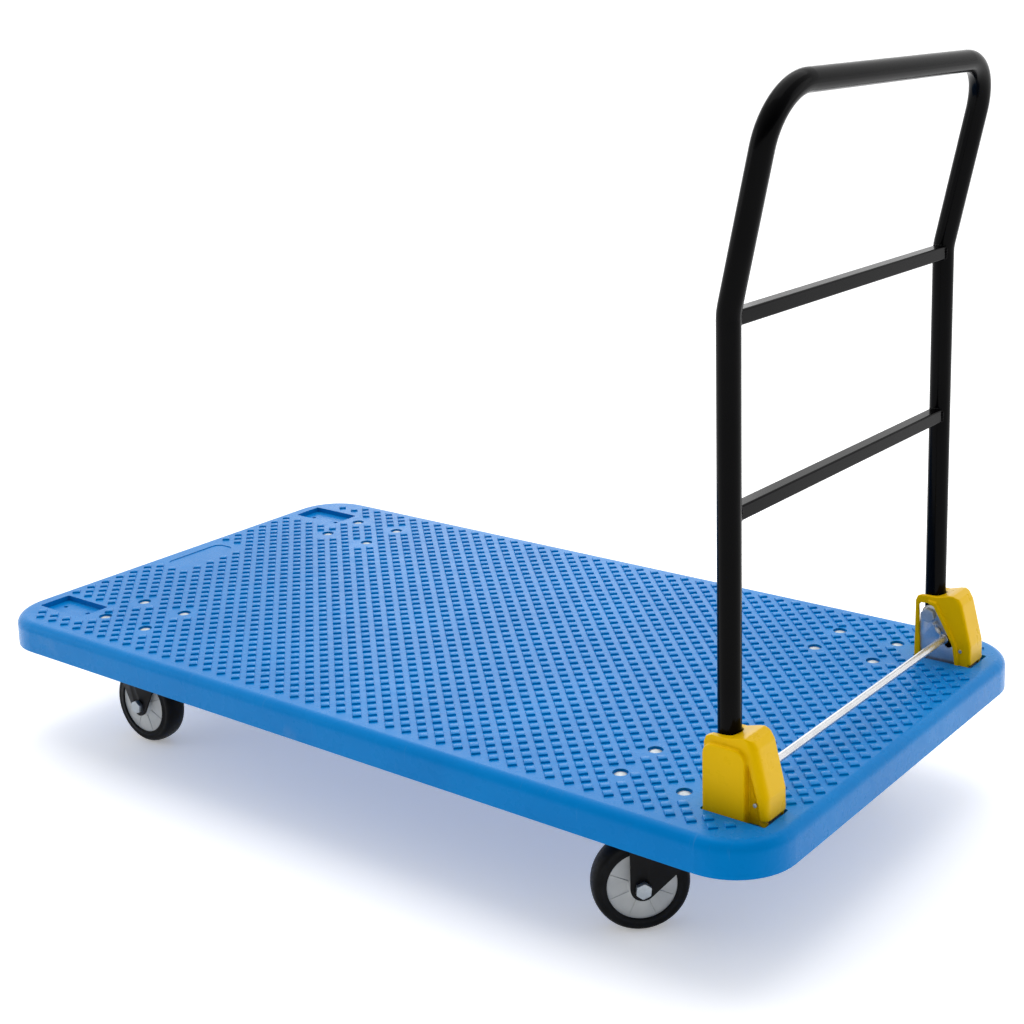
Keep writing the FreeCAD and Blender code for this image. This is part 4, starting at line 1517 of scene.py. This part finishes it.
# ---------------------------------------------------------------- studio
@dataclass(frozen=True)
class SoftBox:
    """One square lamp.

    Args:
        name: Its name.
        place: Where it hangs.
        target: Point that it faces.
        size: Its side in metres.
        power: Its power in watts.
    """

    name: str
    place: Point
    target: Point
    size: float
    power: float

    def build(self) -> None:
        """Hang the lamp."""
        light = bpy.data.lights.new(self.name, "AREA")
        light.shape = "SQUARE"
        light.size = self.size
        light.energy = self.power
        lamp = bpy.data.objects.new(self.name, light)
        lamp.location = self.place
        aim = Vector(self.target) - Vector(self.place)
        lamp.rotation_euler = aim.to_track_quat("-Z", "Y").to_euler()
        bpy.context.scene.collection.objects.link(lamp)


@dataclass
class Studio:
    """Floor, daylight, soft boxes and camera.

    Args:
        azimuth: Direction that the camera stands in, from -Y towards +X, in degrees.
        tilt: Camera's height above level, in degrees.
        roll: Camera's roll in degrees.
        place: Camera's place.
        lens: Focal length for a 36 mm sensor.
        shift: Shift of the lens across and up, as shares of the picture's width.
        floor_size: Side of the floor.
        floor_light: Glow of the floor, which keeps it pale far off.
        bright: Direction that the surroundings are brightest in.
        boxes: The lamps.
    """

    azimuth: float = 36.75
    tilt: float = 12.09
    roll: float = -1.27
    place: Point = (1.3978, -1.6698, 1.018)
    lens: float = 61.14
    shift: tuple[float, float] = (-0.0596, -0.1553)
    floor_size: float = 400.0
    floor_light: float = 0.3
    bright: Point = (-0.53, 0.71, 0.46)
    boxes: Sequence[SoftBox] = (
        SoftBox("overhead", (0.0, 0.3, 3.2), (0.0, 0.0, 0.2), 3.2, 42.0),
        SoftBox("handle_side", (3.2, 1.6, 1.4), (0.3, 0.0, 0.2), 1.8, 11.0),
        SoftBox("left_side", (-3.0, -2.2, 1.4), (0.0, 0.0, 0.2), 1.8, 12.0),
        SoftBox("back_strip", (-2.3, 3.0, 1.7), (0.2, 0.0, 0.15), 1.6, 9.0))

    def build(self) -> None:
        """Set up everything round the cart."""
        bpy.context.scene.view_settings.view_transform = "Standard"
        self.floor()
        self.world()
        for box in self.boxes:
            box.build()
        self.camera()

    def floor(self) -> None:
        """A wide pale floor."""
        deselect()
        bpy.ops.mesh.primitive_plane_add(size=self.floor_size, location=(0, 0, -0.0004))
        floor = bpy.context.object
        floor.name = "floor"
        material = bpy.data.materials.new("floor_white")
        material.use_nodes = True
        board = NodeBoard(material.node_tree)
        place = board.add("ShaderNodeTexCoord").outputs["Object"]
        tone = board.mix(board.noise(place, 0.8), (0.93, 0.93, 0.94), (0.95, 0.95, 0.95))
        shader = board.add("ShaderNodeBsdfPrincipled", Base_Color=tone, Roughness=1.0,
                           Specular_IOR_Level=0.0, Emission_Color=(1.0, 1.0, 1.0, 1.0),
                           Emission_Strength=self.floor_light)
        output = board.add("ShaderNodeOutputMaterial")
        material.node_tree.links.new(shader.outputs[0], output.inputs["Surface"])
        floor.data.materials.append(material)

    def world(self) -> None:
        """Even white surroundings, darker behind the camera."""
        world = bpy.data.worlds.new("daylight")
        bpy.context.scene.world = world
        world.use_nodes = True
        board = NodeBoard(world.node_tree)
        place = board.add("ShaderNodeTexCoord").outputs["Generated"]
        along = board.tree.nodes.new("ShaderNodeVectorMath")
        along.operation = "DOT_PRODUCT"
        board.tree.links.new(place, along.inputs[0])
        along.inputs[1].default_value = self.bright
        strength = board.spread(along.outputs["Value"], -0.7, 0.6, 0.03, 1.3)
        shader = board.add("ShaderNodeBackground", Color=(1.0, 1.0, 1.0, 1.0), Strength=strength)
        output = board.add("ShaderNodeOutputWorld")
        board.tree.links.new(shader.outputs[0], output.inputs["Surface"])

    def camera(self) -> None:
        """Camera at a standing eye's view over the handle end's left corner."""
        a, e, r = (math.radians(v) for v in (self.azimuth, self.tilt, self.roll))
        back = Vector((math.sin(a) * math.cos(e), -math.cos(a) * math.cos(e), math.sin(e)))
        level = Vector((math.cos(a), math.sin(a), 0))
        up = back.cross(level)
        right = math.cos(r) * level + math.sin(r) * up
        up = -math.sin(r) * level + math.cos(r) * up
        data = bpy.data.cameras.new("camera")
        data.lens = self.lens
        data.sensor_width = 36.0
        data.shift_x, data.shift_y = self.shift
        data.clip_end = 600.0
        camera = bpy.data.objects.new("camera", data)
        turn = Matrix((right, up, back)).transposed().to_4x4()
        camera.matrix_world = Matrix.Translation(self.place) @ turn
        bpy.context.scene.collection.objects.link(camera)
        bpy.context.scene.camera = camera


def main() -> None:
    """Build every sub-assembly in order."""
    logging.basicConfig(level=logging.INFO, format="%(name)s %(message)s")
    Studio().build()
    book = FinishBook(FINISHES)
    book.dress_frame(frame["nodes"], frame["record"])
    shop = Shop(book)
    for maker in (GripDeck(), HingeCover(), CasterSet(), HandleWelds(), HingeWork()):
        maker.build(shop)
        LOG.info("%s done", type(maker).__name__)
    deselect()


if __name__ == "__main__":
    main()
